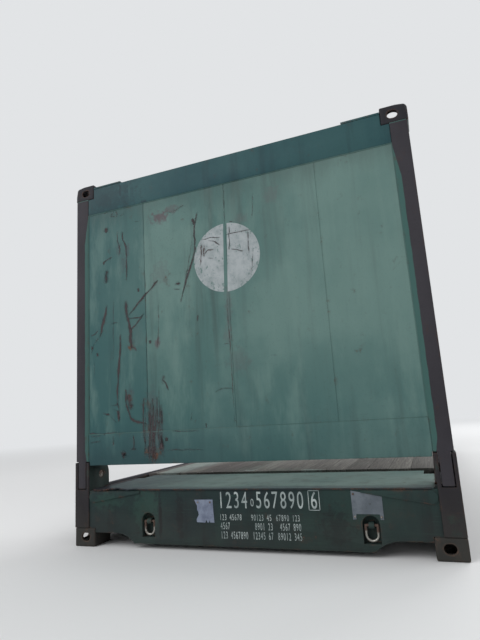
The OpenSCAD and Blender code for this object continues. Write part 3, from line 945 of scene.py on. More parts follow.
def worn_corner(bm: bmesh.types.BMesh, radius: float, steps: int = 5) -> None:
    """Rounds an upper casting's outermost corner and the edge behind it, which stacking has worn down.

    Args:
        bm: The casting's mesh, in the row frame.
        radius: The radius that is left, in metres.
        steps: How many cuts go from one face to the next.
    """
    any_vert = next(iter(bm.verts)).co
    outward = Vector((math.copysign(1.0, any_vert.x), math.copysign(1.0, any_vert.y), 1.0))
    centre = outward * CAD_HIGH - outward * radius
    for tilt in range(steps):
        lean = math.pi / 2 * tilt / steps
        for turn in range(steps):
            rise = math.pi / 2 * (turn + 0.5) / steps
            level = math.cos(lean)
            normal = outward * Vector((math.sin(lean), level * math.cos(rise), level * math.sin(rise)))
            cut(bm, centre + normal * radius, normal, clear=True)
            bmesh.ops.holes_fill(bm, edges=[edge for edge in bm.edges if edge.is_boundary])
    bmesh.ops.recalc_face_normals(bm, faces=bm.faces)


def softened(node: str, radius: float, worn: float = 0.0) -> bmesh.types.BMesh:
    """A merged copy of a CAD node with its sharp edges rounded, as rolled and cut steel has them.

    Args:
        node: The CAD node's name.
        radius: The radius of its edges in metres.
        worn: The radius of its outermost corner, where that is worn down.

    Returns:
        The copy, in the row frame.
    """
    bm = merged(node)
    if worn:
        worn_corner(bm, worn)
    sharp = [edge for edge in bm.edges if edge.is_manifold and edge.calc_face_angle() > SHARP_ANGLE]
    bmesh.ops.bevel(bm, geom=sharp, offset=radius, offset_type="OFFSET", segments=2, profile=0.5,
                    affect="EDGES", clamp_overlap=True, material=-1)
    low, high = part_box(node)
    for vert in bm.verts:
        vert.co = Vector([max(least, min(most, at)) for least, at, most in zip(low, vert.co, high)])
    return bm


def block(bm: bmesh.types.BMesh, low: Iterable[float], high: Iterable[float],
          radius: float = 0.0) -> list[bmesh.types.BMVert]:
    """Adds a box with round edges.

    Args:
        bm: The mesh that it goes into.
        low: Its low corner in metres.
        high: Its high corner.
        radius: The radius of its edges.

    Returns:
        The box's vertices.
    """
    corner, size = Vector(low), Vector(high) - Vector(low)
    place = Matrix.Translation(corner + size / 2) @ Matrix.Diagonal((*size, 1.0))
    verts = bmesh.ops.create_cube(bm, size=1.0, matrix=place)["verts"]
    if radius:
        edges = list({edge for vert in verts for edge in vert.link_edges})
        made = bmesh.ops.bevel(bm, geom=edges, offset=radius, offset_type="OFFSET", segments=2, profile=0.5,
                               affect="EDGES", clamp_overlap=True, material=-1)
        verts = list({vert for face in made["faces"] for vert in face.verts})
    return verts


def made_mesh(bm: bmesh.types.BMesh, name: str) -> bpy.types.Mesh:
    """Makes a mesh of a bmesh, which is freed."""
    mesh = bpy.data.meshes.new(name)
    bm.to_mesh(mesh)
    bm.free()
    return mesh


def added(name: str, data: bpy.types.ID) -> bpy.types.Object:
    """Adds an object with that data to the scene."""
    thing = bpy.data.objects.new(name, data)
    bpy.context.scene.collection.objects.link(thing)
    return thing


def publish(bm: bmesh.types.BMesh, name: str, finish: Finish, body: str,
            place: Matrix | None = None, replaces: Iterable[str] = ()) -> None:
    """Makes a finished mesh a piece of the rack.

    Args:
        bm: The mesh, which is freed.
        name: The piece's name.
        finish: Its looks.
        body: The CAD body that it moves with.
        place: Takes the mesh to the row frame, where it isn't drawn there.
        replaces: The CAD nodes that it stands for.
    """
    if place is not None:
        bmesh.ops.transform(bm, matrix=place, verts=bm.verts)
    mesh = made_mesh(bm, name)
    mesh.shade_smooth()
    mesh.set_sharp_from_angle(angle=SMOOTH_ANGLE)
    mesh.materials.append(finish.material())
    piece = added(name, mesh)
    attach(piece, body)
    if replaces:
        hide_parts(*replaces)
    LOG.info("%s: %d faces on %s", name, len(mesh.polygons), body)


def round_steel(node: str, finish: Finish, body: str, radius: float, worn: float = 0.0) -> None:
    """Replaces a CAD node by a copy with round edges.

    Args:
        node: The CAD node's name.
        finish: Its looks.
        body: The CAD body that it moves with.
        radius: The radius of its edges.
        worn: The radius of its outermost corner, where that is worn down.
    """
    publish(softened(node, radius, worn), f"{node}_steel", finish, body, None, [node])


def dress(node: str, finish: Finish) -> None:
    """Gives a CAD node its finish.

    Args:
        node: The CAD node's name.
        finish: Its looks.
    """
    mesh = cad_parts[node].data
    mesh.materials.clear()
    mesh.materials.append(finish.material())
    LOG.info("%s: dressed as %s", node, finish.name)


@dataclass
class Studio:
    """The camera at the photograph's place, a pale floor and soft light from all sides."""

    camera_place: Place = (-5.86102, -1.12382, 0.80120)
    camera_right: Place = (0.36060695, -0.93068884, -0.06148912)
    camera_up: Place = (-0.15682963, -0.12548758, 0.97962102)
    camera_back: Place = (-0.91943847, -0.34361483, -0.19121128)
    lens: float = 27.21
    sensor: float = 36.0
    floor_radius: float = 40.0
    ambient: float = 0.62
    background: Colour = paint(226, 228, 230)
    view_end: float = 200.0
    lamp_side: float = 9.0
    lamps: tuple[tuple[str, Place, Place, float], ...] = (
        ("front_lamp", (-11.5, 6.0, 8.0), (-3.0, 0.0, 1.4), 780.0),
        ("rear_lamp", (11.5, -6.0, 8.0), (3.0, 0.0, 1.4), 780.0),
        ("side_lamp", (1.0, -12.0, 9.0), (0.0, 0.0, 0.8), 560.0))

    def camera(self) -> None:
        """Sets the camera where the photograph was taken."""
        data = bpy.data.cameras.new("camera")
        data.lens, data.sensor_width, data.clip_end = self.lens, self.sensor, self.view_end
        camera = added("camera", data)
        turn = Matrix((self.camera_right, self.camera_up, self.camera_back)).transposed().to_4x4()
        camera.matrix_world = Matrix.Translation(self.camera_place) @ turn
        bpy.context.scene.camera = camera
        LOG.info("camera set")

    def floor(self) -> None:
        """Lays the round floor."""
        bm = bmesh.new()
        bmesh.ops.create_circle(bm, cap_ends=True, segments=96, radius=self.floor_radius)
        mesh = made_mesh(bm, "studio_floor")
        mesh.materials.append(StudioFloor("studio_floor", background=self.background).material())
        floor = added("studio_floor", mesh)
        LOG.info("floor laid")

    def world(self) -> None:
        """Fills the world with soft light, and shows the pale background to the eye and to gloss."""
        world = bpy.data.worlds.new("studio")
        bpy.context.scene.world = world
        world.use_nodes = True
        nodes = Nodes(world.node_tree)
        light = nodes.add("ShaderNodeBackground", {}, {"Strength": self.ambient}).outputs[0]
        shown = nodes.shown("ShaderNodeBackground", 1.0, light, self.background)
        nodes.add("ShaderNodeOutputWorld", {}, {"Surface": shown})
        LOG.info("world lit")

    def lamp(self, name: str, place: Place, target: Place, power: float) -> None:
        """Hangs one soft square lamp.

        Args:
            name: The lamp's name.
            place: Where it hangs, in metres.
            target: What it faces.
            power: Its power in watts.
        """
        data = bpy.data.lights.new(name, "AREA")
        data.shape, data.size, data.energy = "SQUARE", self.lamp_side, power
        lamp = added(name, data)
        lamp.matrix_world = Matrix.Translation(place) @ (
            Vector(place) - Vector(target)).to_track_quat("Z", "Y").to_matrix().to_4x4()
        LOG.info("%s hung", name)

    def build(self) -> None:
        """Builds the whole studio."""
        bpy.context.scene.view_settings.view_transform = "Standard"
        self.camera()
        self.floor()
        self.world()
        for lamp in self.lamps:
            self.lamp(*lamp)


@dataclass(frozen=True)
class Stroke:
    """One gouge or scratch in a wall's paint, through points across and up the wall in millimetres."""

    points: tuple[tuple[float, float], ...]
    width: float
    force: float = 0.9
    tone: float = 0.2

    def at(self, share: float) -> tuple[Vector, Vector]:
        """A place on the stroke.

        Args:
            share: How far along the stroke, from 0 to 1.

        Returns:
            The point and the direction there, across and up the wall in metres.
        """
        path = [Vector(point) * MM for point in self.points]
        spans = [(b - a).length for a, b in zip(path, path[1:])]
        left = share * sum(spans)
        for a, b, span in zip(path, path[1:], spans):
            if left <= span or b is path[-1]:
                return a.lerp(b, min(left / span, 1.0)), (b - a).normalized()
            left -= span
        return path[-1], (path[-1] - path[-2]).normalized()

    @property
    def length(self) -> float:
        """The stroke's length in metres."""
        return sum((Vector(b) - Vector(a)).length for a, b in zip(self.points, self.points[1:])) * MM


FRONT_STROKES = tuple(Stroke(*stroke) for stroke in (
    (((949, 1631), (976, 1539), (1011, 1405)), 15, 1.0),
    (((1011, 1405), (1065, 1360), (1085, 1285)), 8, 0.6),
    (((788, 1645), (790, 1550), (765, 1455), (754, 1298)), 17, 1.0),
    (((774, 1534), (695, 1600), (648, 1647), (590, 1690), (525, 1750)), 13, 0.95),
    (((768, 1427), (725, 1450), (701, 1475), (643, 1524)), 11, 0.85),
    (((781, 1512), (681, 1502), (644, 1527)), 11, 0.85),
    (((760, 1305), (730, 1300), (708, 1275)), 12, 0.85, 0.7),
    (((840, 1404), (842, 1312), (857, 1163), (869, 1006), (866, 900)), 15, 0.9),
    (((866, 920), (862, 870), (845, 815)), 8, 0.6),
    (((800, 1015), (797, 910), (765, 815), (718, 794), (641, 777)), 13, 0.9),
    (((780, 980), (768, 890)), 22, 0.9, 0.3),
    (((665, 950), (668, 780), (652, 610)), 14, 0.75),
    (((620, 895), (618, 775), (628, 560)), 16, 0.78),
    (((590, 945), (597, 704), (604, 482)), 18, 0.8),
    (((560, 955), (560, 830), (552, 640)), 13, 0.75),
    (((525, 900), (530, 765), (520, 560)), 12, 0.72),
    (((540, 1010), (545, 930), (542, 850)), 6, 0.6),
    (((854, 2175), (852, 2097), (833, 2035), (840, 1990)), 9, 0.8),
    (((811, 2166), (806, 2100), (775, 2020), (778, 1932), (784, 1791)), 10, 0.85),
    (((949, 2222), (953, 2180)), 22, 0.95),
    (((975, 1962), (974, 1940)), 14, 0.8),
    (((948, 1892), (957, 1850), (952, 1794)), 26, 0.95, 0.0),
    (((688, 1715), (685, 1690)), 16, 0.85),
    (((603, 1335), (600, 1312)), 18, 0.9),
    (((495, 684), (493, 662)), 16, 0.9),
    (((1035, 1290), (1034, 1268)), 14, 0.75),
    (((1082, 1345), (1078, 1322)), 15, 0.8),
    (((1125, 1020), (1100, 960)), 13, 0.8),
    (((881, 2342), (913, 2301), (859, 2284), (852, 2300), (868, 2340)), 8, 0.75),
    (((967, 2337), (936, 2337)), 8, 0.7),
    (((832, 2287), (792, 2300)), 9, 0.7),
    (((440, 2222), (370, 2232), (300, 2262)), 16, 0.4, 0.3),
    (((525, 1605), (535, 1365), (545, 1276)), 7, 0.55, 0.6),
    (((541, 1345), (544, 1285)), 8, 0.6, 0.6),
    (((496, 1084), (511, 1060), (492, 1038), (471, 986)), 10, 0.8),
    (((925, 1490), (860, 1495)), 7, 0.6),
    (((1060, 1225), (1060, 1125)), 7, 0.55),
    (((1090, 1420), (1055, 1430), (1020, 1455)), 8, 0.7),
    (((990, 870), (925, 845)), 8, 0.65),
    (((870, 880), (865, 800)), 8, 0.65),
    (((200, 2185), (230, 2075), (230, 1915), (265, 1815), (310, 1710), (355, 1570)), 11, 0.85),
    (((235, 2145), (230, 2095)), 14, 0.8),
    (((241, 2024), (289, 1818), (336, 1601)), 7, 0.6),
    (((396, 1700), (352, 1699)), 13, 0.8),
    (((420, 1670), (355, 1660)), 7, 0.65),
    (((-5, 2334), (6, 2060)), 5, 0.5, 0.2),
    (((15, 1582), (18, 1362), (12, 1201), (14, 956), (10, 760)), 7, 0.6, 0.5),
    (((628, 1900), (630, 1500), (629, 900)), 6, 0.5, 0.2),
    (((895, 1660), (900, 1230)), 6, 0.5),
    (((140, 950), (109, 964), (72, 967), (12, 965)), 7, 0.65),
    (((1142, 735), (960, 728), (854, 735)), 8, 0.7),
    (((905, 715), (906, 642)), 9, 0.75, 0.1),
    (((743, 708), (742, 615)), 9, 0.75, 0.1),
    (((1099, 668), (1002, 684)), 8, 0.7, 0.1),
    (((501, 605), (368, 603), (238, 600)), 7, 0.65, 0.1),
    (((494, 681), (490, 661)), 18, 0.95, 0.1),
    (((819, 594), (815, 576)), 18, 0.9, 0.1),
    (((827, 580), (823, 564)), 14, 0.8, 0.1),
    (((304, 838), (313, 776)), 7, 0.65, 0.1),
    (((209, 760), (208, 732)), 7, 0.65, 0.1),
    (((651, 902), (653, 718), (662, 538)), 8, 0.6),
    (((609, 910), (617, 717), (627, 527)), 16, 0.75),
    (((572, 886), (582, 694), (583, 536)), 15, 0.74),
    (((540, 895), (543, 735), (533, 660), (538, 577)), 15, 0.78),
    (((522, 862), (529, 766)), 7, 0.6),
    (((542, 650), (537, 606)), 34, 0.95, 0.2),
    (((596, 705), (604, 532)), 34, 0.45, 0.5),
    (((933, 842), (873, 794)), 7, 0.65),
    (((974, 857), (932, 866)), 7, 0.6),
    (((865, 882), (863, 805)), 8, 0.7),
    (((758, 920), (765, 876)), 24, 0.85, 0.4),
    (((-3, 1977), (-98, 1981), (-168, 1979)), 6, 0.8, 0.2),
    (((-156, 1970), (-151, 1823)), 7, 0.75, 0.1),
    (((-28, 2036), (-20, 1870)), 6, 0.8, 0.1),
    (((175, 1980), (95, 1978), (40, 1970)), 6, 0.85, 0.1),
    (((130, 1965), (85, 1945), (45, 1915)), 6, 0.8, 0.1),
    (((178, 1950), (188, 1880), (196, 1800)), 13, 0.8, 0.7),
    (((160, 1940), (170, 1870), (165, 1850)), 9, 0.75, 0.7),
    (((-208, 2226), (-190, 2055)), 6, 0.5, 0.3),
    (((-188, 1861), (-157, 1666)), 6, 0.5, 0.3),
    (((984, 1948), (950, 1968), (903, 1984)), 10, 0.65),
    (((705, 2217), (660, 2211)), 9, 0.6),
    (((930, 916), (861, 917)), 8, 0.65),
    (((911, 894), (874, 876), (867, 819)), 8, 0.65),
    (((453, 722), (255, 717)), 7, 0.7, 0.1),
    (((771, 617), (719, 616)), 9, 0.6, 0.1),
    (((806, 596), (838, 580)), 26, 0.9, 0.0),
    (((1092, 713), (1006, 714)), 8, 0.6, 0.1),
    (((-32, 1871), (-117, 1849)), 6, 0.75, 0.1),
    (((-23, 2070), (-63, 2057)), 6, 0.7, 0.1),
    (((163, 1869), (139, 1897), (94, 1895)), 7, 0.8, 0.4),
    (((103, 1831), (142, 1841)), 6, 0.7, 0.4),
    (((232, 1463), (237, 1422)), 12, 0.7),
    (((65, 1247), (18, 1247)), 6, 0.55),
    (((-252, 1147), (-291, 1144)), 6, 0.5),
))


def scattered_strokes(seed: int, count: int, half_w: float, low: float, high: float) -> tuple[Stroke, ...]:
    """Knocks and scratches for a wall that the photograph doesn't show.

    Args:
        seed: Starts the random draws.
        count: How many strokes to make.
        half_w: Half the wall's width in millimetres.
        low: The height of the wall's lower edge in millimetres.
        high: The height of its upper edge.

    Returns:
        The strokes.
    """
    draw = random.Random(seed)
    strokes = []
    for _ in range(count):
        y, z = draw.uniform(-half_w, half_w), draw.uniform(low + 120, high - 60)
        fall = draw.uniform(30, 420) * draw.random()
        lean = draw.uniform(-0.5, 0.5) * fall
        z_end = max(z - fall - 12, low + 15)
        y_end = max(-half_w, min(half_w, y + lean))
        bend = draw.uniform(-12, 12)
        middle = ((y + y_end) / 2 + bend, (z + z_end) / 2)
        strokes.append(Stroke(((y, z), middle, (y_end, z_end)), draw.uniform(6, 14), draw.uniform(0.5, 0.95),
                              draw.uniform(0.1, 0.6)))
    return tuple(strokes)


@dataclass
class Sheet:
    """An end wall's steel sheet, dented between the stiffeners behind it."""

    end: End
    pitch: float = 0.026
    seams: tuple[float, ...] = (-0.629, 0.0, 0.629)
    groove_w: float = 0.007
    groove_t: float = 0.002
    slope: float = 0.0006
    band_low: float = 0.022
    band_high: float = 0.002
    band_half: float = 0.0125
    stiffener_pitch: float = 0.3
    pillow: float = 0.0045
    held_rim: float = 0.12
    most_outward: float = 0.0025
    edge_margin: float = 0.002
    foot_margin: float = 0.008
    short_stroke: float = 0.04
    stroke_sway: float = 0.006
    knocks: tuple[tuple[float, float, float, float], ...] = (
        (0.50, 2.22, 0.16, 0.005), (0.77, 1.50, 0.17, 0.005), (0.62, 0.82, 0.15, 0.004),
        (-0.45, 1.35, 0.28, 0.004), (0.95, 1.55, 0.12, 0.004))

    def __post_init__(self) -> None:
        """Reads the sheet's place from the frame."""
        low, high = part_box(f"panel_{self.end.value}")
        self.half_w = high.y
        self.low_z, self.high_z = low.z, high.z
        self.thick = high.x - low.x
        self.face = HALF_LENGTH - max(abs(low.x), abs(high.x))
        rail_low, rail_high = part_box(f"bottom_rail_{self.end.value}")
        self.rail_face = HALF_LENGTH - max(abs(rail_low.x), abs(rail_high.x))
        self.rail_z = rail_low.z

    def depth(self, y: float, z: float) -> float:
        """How deep the sheet's face lies behind the end plane, without its grooves.

        Args:
            y: The place across the wall in metres.
            z: The height above the ground.

        Returns:
            The depth in metres.
        """
        if z < self.low_z:
            return self.rail_face
        seed = 3.0 if self.end is End.FRONT else 17.0
        held = abs(math.sin(math.pi * y / self.stiffener_pitch))
        rim = min(self.held_rim, self.half_w - abs(y), z - self.low_z, self.high_z - z) / self.held_rim
        slow = noise.noise(Vector((y * 1.3, z * 1.6, seed)))
        quick = noise.noise(Vector((y * 4.3, z * 3.1, seed + 9.0)))
        dent = self.pillow * held * (0.35 + slow + 0.45 * quick)
        for at_y, at_z, radius, deep in self.knocks:
            near = math.hypot(y - at_y, z - at_z) / radius
            dent += deep * max(0.0, 1.0 - near * near) ** 2
        return self.face + max(-self.most_outward, dent) * max(0.0, rim)

    def build(self, finish: Finish) -> None:
        """Builds the sheet, which replaces the flat one.

        Args:
            finish: The sheet's looks.
        """
        bm = bmesh.new()
        height = self.high_z - self.low_z
        columns, rows = round(2 * self.half_w / self.pitch), round(height / self.pitch)
        bmesh.ops.create_grid(bm, x_segments=columns, y_segments=rows, size=0.5)
        stand = standing(2 * self.half_w, height, 0.0, self.low_z + height / 2)
        bmesh.ops.transform(bm, matrix=stand, verts=bm.verts)
        for seam in self.seams:
            for away in (-self.groove_w / 2, self.slope - self.groove_w / 2,
                         self.groove_w / 2 - self.slope, self.groove_w / 2):
                cut(bm, (0.0, seam + away, 0.0), (0.0, 1.0, 0.0))
        floor_half = self.groove_w / 2 - self.slope + SHEET_WELD_DISTANCE
        for vert in bm.verts:
            sunk = any(abs(vert.co.y - seam) < floor_half for seam in self.seams)
            vert.co.x = self.depth(vert.co.y, vert.co.z) + (self.groove_t if sunk else 0.0)
        bmesh.ops.recalc_face_normals(bm, faces=bm.faces)
        if sum(face.normal.x for face in bm.faces) > 0:
            bmesh.ops.reverse_faces(bm, faces=bm.faces)
        bmesh.ops.solidify(bm, geom=bm.faces[:], thickness=self.thick)
        bmesh.ops.recalc_face_normals(bm, faces=bm.faces)
        name = f"sheet_{self.end.value}"
        publish(bm, name, finish, self.end.wall, self.end.place, [f"panel_{self.end.value}"])

    def scars(self, strokes: Iterable[Stroke], lift: float = 0.5 * MM, step: float = 0.014) -> None:
        """Lays rust along each stroke, just in front of the sheet.

        Args:
            strokes: The gouges and scratches.
            lift: How far the rust stands in front of the paint.
            step: The distance between a strip's cross lines.
        """
        bm = bmesh.new()
        layer = bm.verts.layers.float_vector.new("stroke")
        for index, stroke in enumerate(strokes):
            count = max(3, round(stroke.length / step))
            grid = bmesh.ops.create_grid(bm, x_segments=count, y_segments=2, size=1.0)["verts"]
            half = stroke.width * MM * 1.35
            height = lift + 0.12 * MM * (index % 6)
            for vert in grid:
                share, across = (vert.co.x + 1) / 2, vert.co.y
                point, way = stroke.at(share)
                side = Vector((-way.y, way.x))
                jolt = noise.noise(Vector((share * stroke.length * 22, index * 3.7, 0.0)))
                swell = 1.0 + 0.5 * noise.noise(Vector((share * stroke.length * 14, index * 5.1, 4.0)))
                point = point + side * (across * half * swell + jolt * self.stroke_sway)
                y = max(self.edge_margin - self.half_w, min(self.half_w - self.edge_margin, point.x))
                z = max(self.rail_z + self.foot_margin, min(self.high_z - self.edge_margin, point.y))
                long = stroke.length > self.short_stroke
                taper = min(1.0, 6.0 * share, 6.0 * (1.0 - share)) if long else 1.0
                vert[layer] = (across, stroke.tone, stroke.force * (0.55 + 0.45 * taper))
                vert.co = (self.depth(y, z) - height, y, z)
        bmesh.ops.recalc_face_normals(bm, faces=bm.faces)
        bmesh.ops.reverse_faces(bm, faces=[face for face in bm.faces if face.normal.x > 0])
        name = f"scars_{self.end.value}"
        publish(bm, name, SCARS, self.end.wall, self.end.place)

    def disc(self, across: float, up: float, radius: float, film: float = 0.4 * MM) -> None:
        """Paints a plain pale disc across the middle seam, in two halves.

        Args:
            across: The disc's middle across the wall in metres.
            up: Its height above the ground.
            radius: Its radius.
            film: How far it stands in front of the sheet.
        """
        bm = bmesh.new()
        spoke = [bm.verts.new((radius * step / 12, 0.0, 0.0)) for step in range(13)]
        edges = [bm.edges.new(pair) for pair in zip(spoke, spoke[1:])]
        bmesh.ops.spin(bm, geom=spoke + edges, cent=(0.0, 0.0, 0.0), axis=(0.0, 0.0, 1.0),
                       dvec=(0.0, 0.0, 0.0), angle=2 * math.pi, steps=96, use_merge=True, use_duplicate=False)
        bmesh.ops.remove_doubles(bm, verts=bm.verts, dist=SHEET_WELD_DISTANCE)
        bmesh.ops.transform(bm, matrix=standing(1.0, 1.0, across, up), verts=bm.verts)
        lean = (self.band_low - self.band_high) / (2 * radius)
        normal = Vector((0.0, 1.0, lean)).normalized()
        middle = Vector((0.0, (self.band_low + self.band_high) / 2, up))
        for side in (-1, 1):
            cut(bm, middle + normal * (side * self.band_half), normal)
        gap = [face for face in bm.faces
               if abs((face.calc_center_median() - middle).dot(normal)) < self.band_half]
        bmesh.ops.delete(bm, geom=gap, context="FACES")
        for vert in bm.verts:
            vert.co.x = self.depth(vert.co.y, vert.co.z) - film
        bmesh.ops.recalc_face_normals(bm, faces=bm.faces)
        bmesh.ops.reverse_faces(bm, faces=[face for face in bm.faces if face.normal.x > 0])
        bmesh.ops.solidify(bm, geom=bm.faces[:], thickness=0.5 * film)
        publish(bm, "wall_disc", DISC_WHITE, self.end.wall, self.end.place)


@dataclass
class WeldRun:
    """Weld beads as a welder lays them: a rope of small ripples along each joint."""

    ripple: float = 0.011
    unit_ripples: int = 8

    def unit(self) -> bpy.types.Mesh:
        """A short straight bead of unit radius along Z, which longer runs repeat."""
        bm = bmesh.new()
        bmesh.ops.create_circle(bm, cap_ends=True, segments=8, radius=0.72)
        ring = next(iter(bm.faces))
        for _ in range(self.unit_ripples):
            for rise, size in ((0.35, 1.0), (0.4, 0.98), (0.25, 0.78)):
                ring = bmesh.ops.extrude_discrete_faces(bm, faces=[ring])["faces"][0]
                bmesh.ops.translate(bm, vec=(0.0, 0.0, rise), verts=ring.verts[:])
                reach = max(vert.co.xy.length for vert in ring.verts)
                bmesh.ops.scale(bm, vec=(size / reach, size / reach, 1.0), verts=ring.verts[:])
        bmesh.ops.recalc_face_normals(bm, faces=bm.faces)
        return made_mesh(bm, "bead_unit")

    def build(self, name: str, runs: Iterable[Run], finish: Finish, body: str,
              slot: str, place: Matrix | None = None) -> None:
        """Lays a bead along each run.

        Args:
            name: The piece's name.
            runs: Each run's two ends and its radius, in metres.
            finish: The beads' looks.
            body: The CAD body that they move with.
            slot: Not used.
            place: Takes them to the row frame.
        """
        unit = self.unit()
        tall = max(vert.co.z for vert in unit.vertices)
        bm = bmesh.new()
        for start, end, radius in runs:
            way = end - start
            count = max(1, round(way.length / (self.ripple * self.unit_ripples)))
            turn = way.to_track_quat("Z", "Y").to_matrix().to_4x4()
            size = Matrix.Diagonal((radius, radius, way.length / count / tall, 1.0))
            for index in range(count):
                before = len(bm.verts)
                bm.from_mesh(unit)
                bm.verts.ensure_lookup_table()
                at = Matrix.Translation(start + way * (index / count))
                bmesh.ops.transform(bm, matrix=at @ turn @ size, verts=bm.verts[before:])
        bpy.data.meshes.remove(unit)
        publish(bm, name, finish, body, place)


@dataclass
class EndWall:
    """A folding end wall: posts, header, bottom rail, sheet, stiffeners and upper castings."""

    end: End
    bead: float = 0.0045
    thin_bead: float = 0.003
    casting_bead: float = 0.0048
    post_face: float = 0.0052
    bead_inset: float = 0.006
    side_inset: float = 0.008
    disc_up: float = 1.825
    disc_across: float = 0.006
    disc_radius: float = 0.235

    def node(self, part: str) -> str:
        """The name of one of this wall's CAD nodes."""
        return f"{part}_{self.end.value}"

    def frame_parts(self) -> None:
        """Builds the posts, the header, its plates, the bottom rail and the castings."""
        for side in Side:
            round_steel(f"{self.node('post')}_{side.value}", POST_BROWN, self.end.wall, 0.006)
            casting = f"{self.node('casting_top')}_{side.value}"
            round_steel(casting, TOP_CASTING, self.end.wall, 0.0025, WORN_CORNER)
        round_steel(self.node("header"), HEADER_GREEN, self.end.wall, 0.006)
        round_steel(self.node("header_plates"), HEADER_GREEN, self.end.wall, 0.002)
        round_steel(self.node("bottom_rail"), self.paint, self.end.wall, 0.005)
        dress(self.node("stiffeners"), STIFFENER_GREEN)

    @property
    def paint(self) -> Finish:
        """The paint of this wall's sheet."""
        return WALL_GREEN if self.end is End.FRONT else REAR_GREEN

    def welds(self) -> None:
        """Lays the welds round the sheet and under the castings."""
        sheet = Sheet(self.end)
        face, half, low, high = sheet.face, sheet.half_w, sheet.low_z, sheet.high_z
        casting_low, casting_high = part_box(f"{self.node('casting_top')}_left")
        casting_z = casting_low.z
        casting_deep = casting_high.x - casting_low.x
        runs = [(Vector((face, s * half, low)), Vector((face, s * half, high)), self.bead)
                for s in (-1, 1)]
        runs.append((Vector((face, -half, high)), Vector((face, half, high)), self.bead))
        runs.append((Vector((face, -half, low)), Vector((face, half, low)), self.thin_bead))
        post_low, post_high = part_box(f"{self.node('post')}_left")
        post_out = max(abs(post_low.y), abs(post_high.y))
        for s in (-1, 1):
            outer = s * (post_out - self.bead_inset)
            runs.append((Vector((self.post_face, s * half, casting_z)),
                         Vector((self.post_face, outer, casting_z)), self.casting_bead))
            runs.append((Vector((self.side_inset, s * post_out, casting_z)),
                         Vector((casting_deep - self.side_inset, s * post_out, casting_z)), self.bead))
        name = f"welds_{self.end.value}"
        WeldRun().build(name, runs, WELD_GREEN, self.end.wall, "wall_paint", self.end.place)

    def build(self) -> None:
        """Builds the whole wall."""
        self.frame_parts()
        sheet = Sheet(self.end)
        sheet.build(self.paint)
        self.welds()
        if self.end is End.FRONT:
            sheet.scars(FRONT_STROKES)
            sheet.disc(self.disc_across, self.disc_up, self.disc_radius)
        else:
            sheet.scars(scattered_strokes(41, 30, sheet.half_w / MM, sheet.low_z / MM, sheet.high_z / MM))


@dataclass
class Numbers:
    """Rows of plain generic digits, painted on the front sill."""

    face: float
    film: float = 0.5 * MM
    big: tuple[tuple[str, float], ...] = (("1234", 160), ("567890", -83), ("6", -416))
    big_low: float = 0.251
    big_high: float = 0.345
    big_pitch: float = 0.0505
    rows: tuple[tuple[float, float, tuple[tuple[str, float], ...]], ...] = (
        (0.182, 0.216, (("123 45678", 150), ("90123 45", -53), ("67890 123", -207))),
        (0.130, 0.169, (("4567", 147), ("8901 23", -74), ("4567 890", -227))),
        (0.078, 0.118, (("123 4567890", 147), ("12345 67", -58), ("89012 345", -212))))
    row_pitch: float = 0.0162
    small: tuple[str, float, float, float, float] = ("0", -52, 0.262, 0.305, 0.028)
    frame_low: tuple[float, float] = (-0.474, 0.242)
    frame_high: tuple[float, float] = (-0.408, 0.352)
    frame_line: float = 0.004

    def line(self, bm: bmesh.types.BMesh, text: str, left: float, low: float, high: float,
             pitch: float) -> None:
        """Adds one line of digits.

        Args:
            bm: The mesh that it goes into.
            text: The digits.
            left: The line's left edge across the sill, in millimetres.
            low: The height of the digits' feet in metres.
            high: The height of their tops.
            pitch: The distance from one digit to the next.
        """
        squeeze = 0.0
        for index, digit in enumerate("0" + text):
            if digit == " ":
                continue
            curve = bpy.data.curves.new("digit", "FONT")
            curve.body, curve.size, curve.extrude, curve.resolution_u = digit, 1.0, self.film, 6
            holder = added("digit", curve)
            bpy.context.view_layer.update()
            solved = bpy.context.evaluated_depsgraph_get()
            mesh = bpy.data.meshes.new_from_object(holder.evaluated_get(solved))
            bpy.data.objects.remove(holder)
            bpy.data.curves.remove(curve)
            xs, ys = [v.co.x for v in mesh.vertices], [v.co.y for v in mesh.vertices]
            if index == 0:
                squeeze = pitch * 0.7 / (max(xs) - min(xs))
                bpy.data.meshes.remove(mesh)
                continue
            wide = squeeze * (max(xs) - min(xs))
            tall = (high - low) / (max(ys) - min(ys))
            before = len(bm.verts)
            bm.from_mesh(mesh)
            bm.verts.ensure_lookup_table()
            bpy.data.meshes.remove(mesh)
            start = left * MM - (index - 1) * pitch - (pitch - wide) / 2
            place = standing(-squeeze, tall, start + squeeze * min(xs), low - tall * min(ys),
                             self.face - self.film)
            bmesh.ops.transform(bm, matrix=place, verts=bm.verts[before:])

    def build(self) -> None:
        """Paints all the rows."""
        bm = bmesh.new()
        for text, left in self.big:
            self.line(bm, text, left, self.big_low, self.big_high, self.big_pitch)
        for low, high, groups in self.rows:
            for text, left in groups:
                self.line(bm, text, left, low, high, self.row_pitch)
        self.line(bm, *self.small)
        (y_low, z_low), (y_high, z_high) = self.frame_low, self.frame_high
        for low, high in (((y_low, z_low), (y_low + self.frame_line, z_high)),
                          ((y_high - self.frame_line, z_low), (y_high, z_high)),
                          ((y_low, z_low), (y_high, z_low + self.frame_line)),
                          ((y_low, z_high - self.frame_line), (y_high, z_high))):
            block(bm, (self.face - 2 * self.film, *low), (self.face, *high))
        bmesh.ops.remove_doubles(bm, verts=bm.verts, dist=CUT_DISTANCE)
        publish(bm, "sill_numbers", STENCIL_WHITE, "base", End.FRONT.place)


@dataclass(frozen=True)
class Bend:
    """A length of the deck plate's outer edge that is bent up, in metres across the end."""

    low: float
    high: float
    lift: float
    deep: float


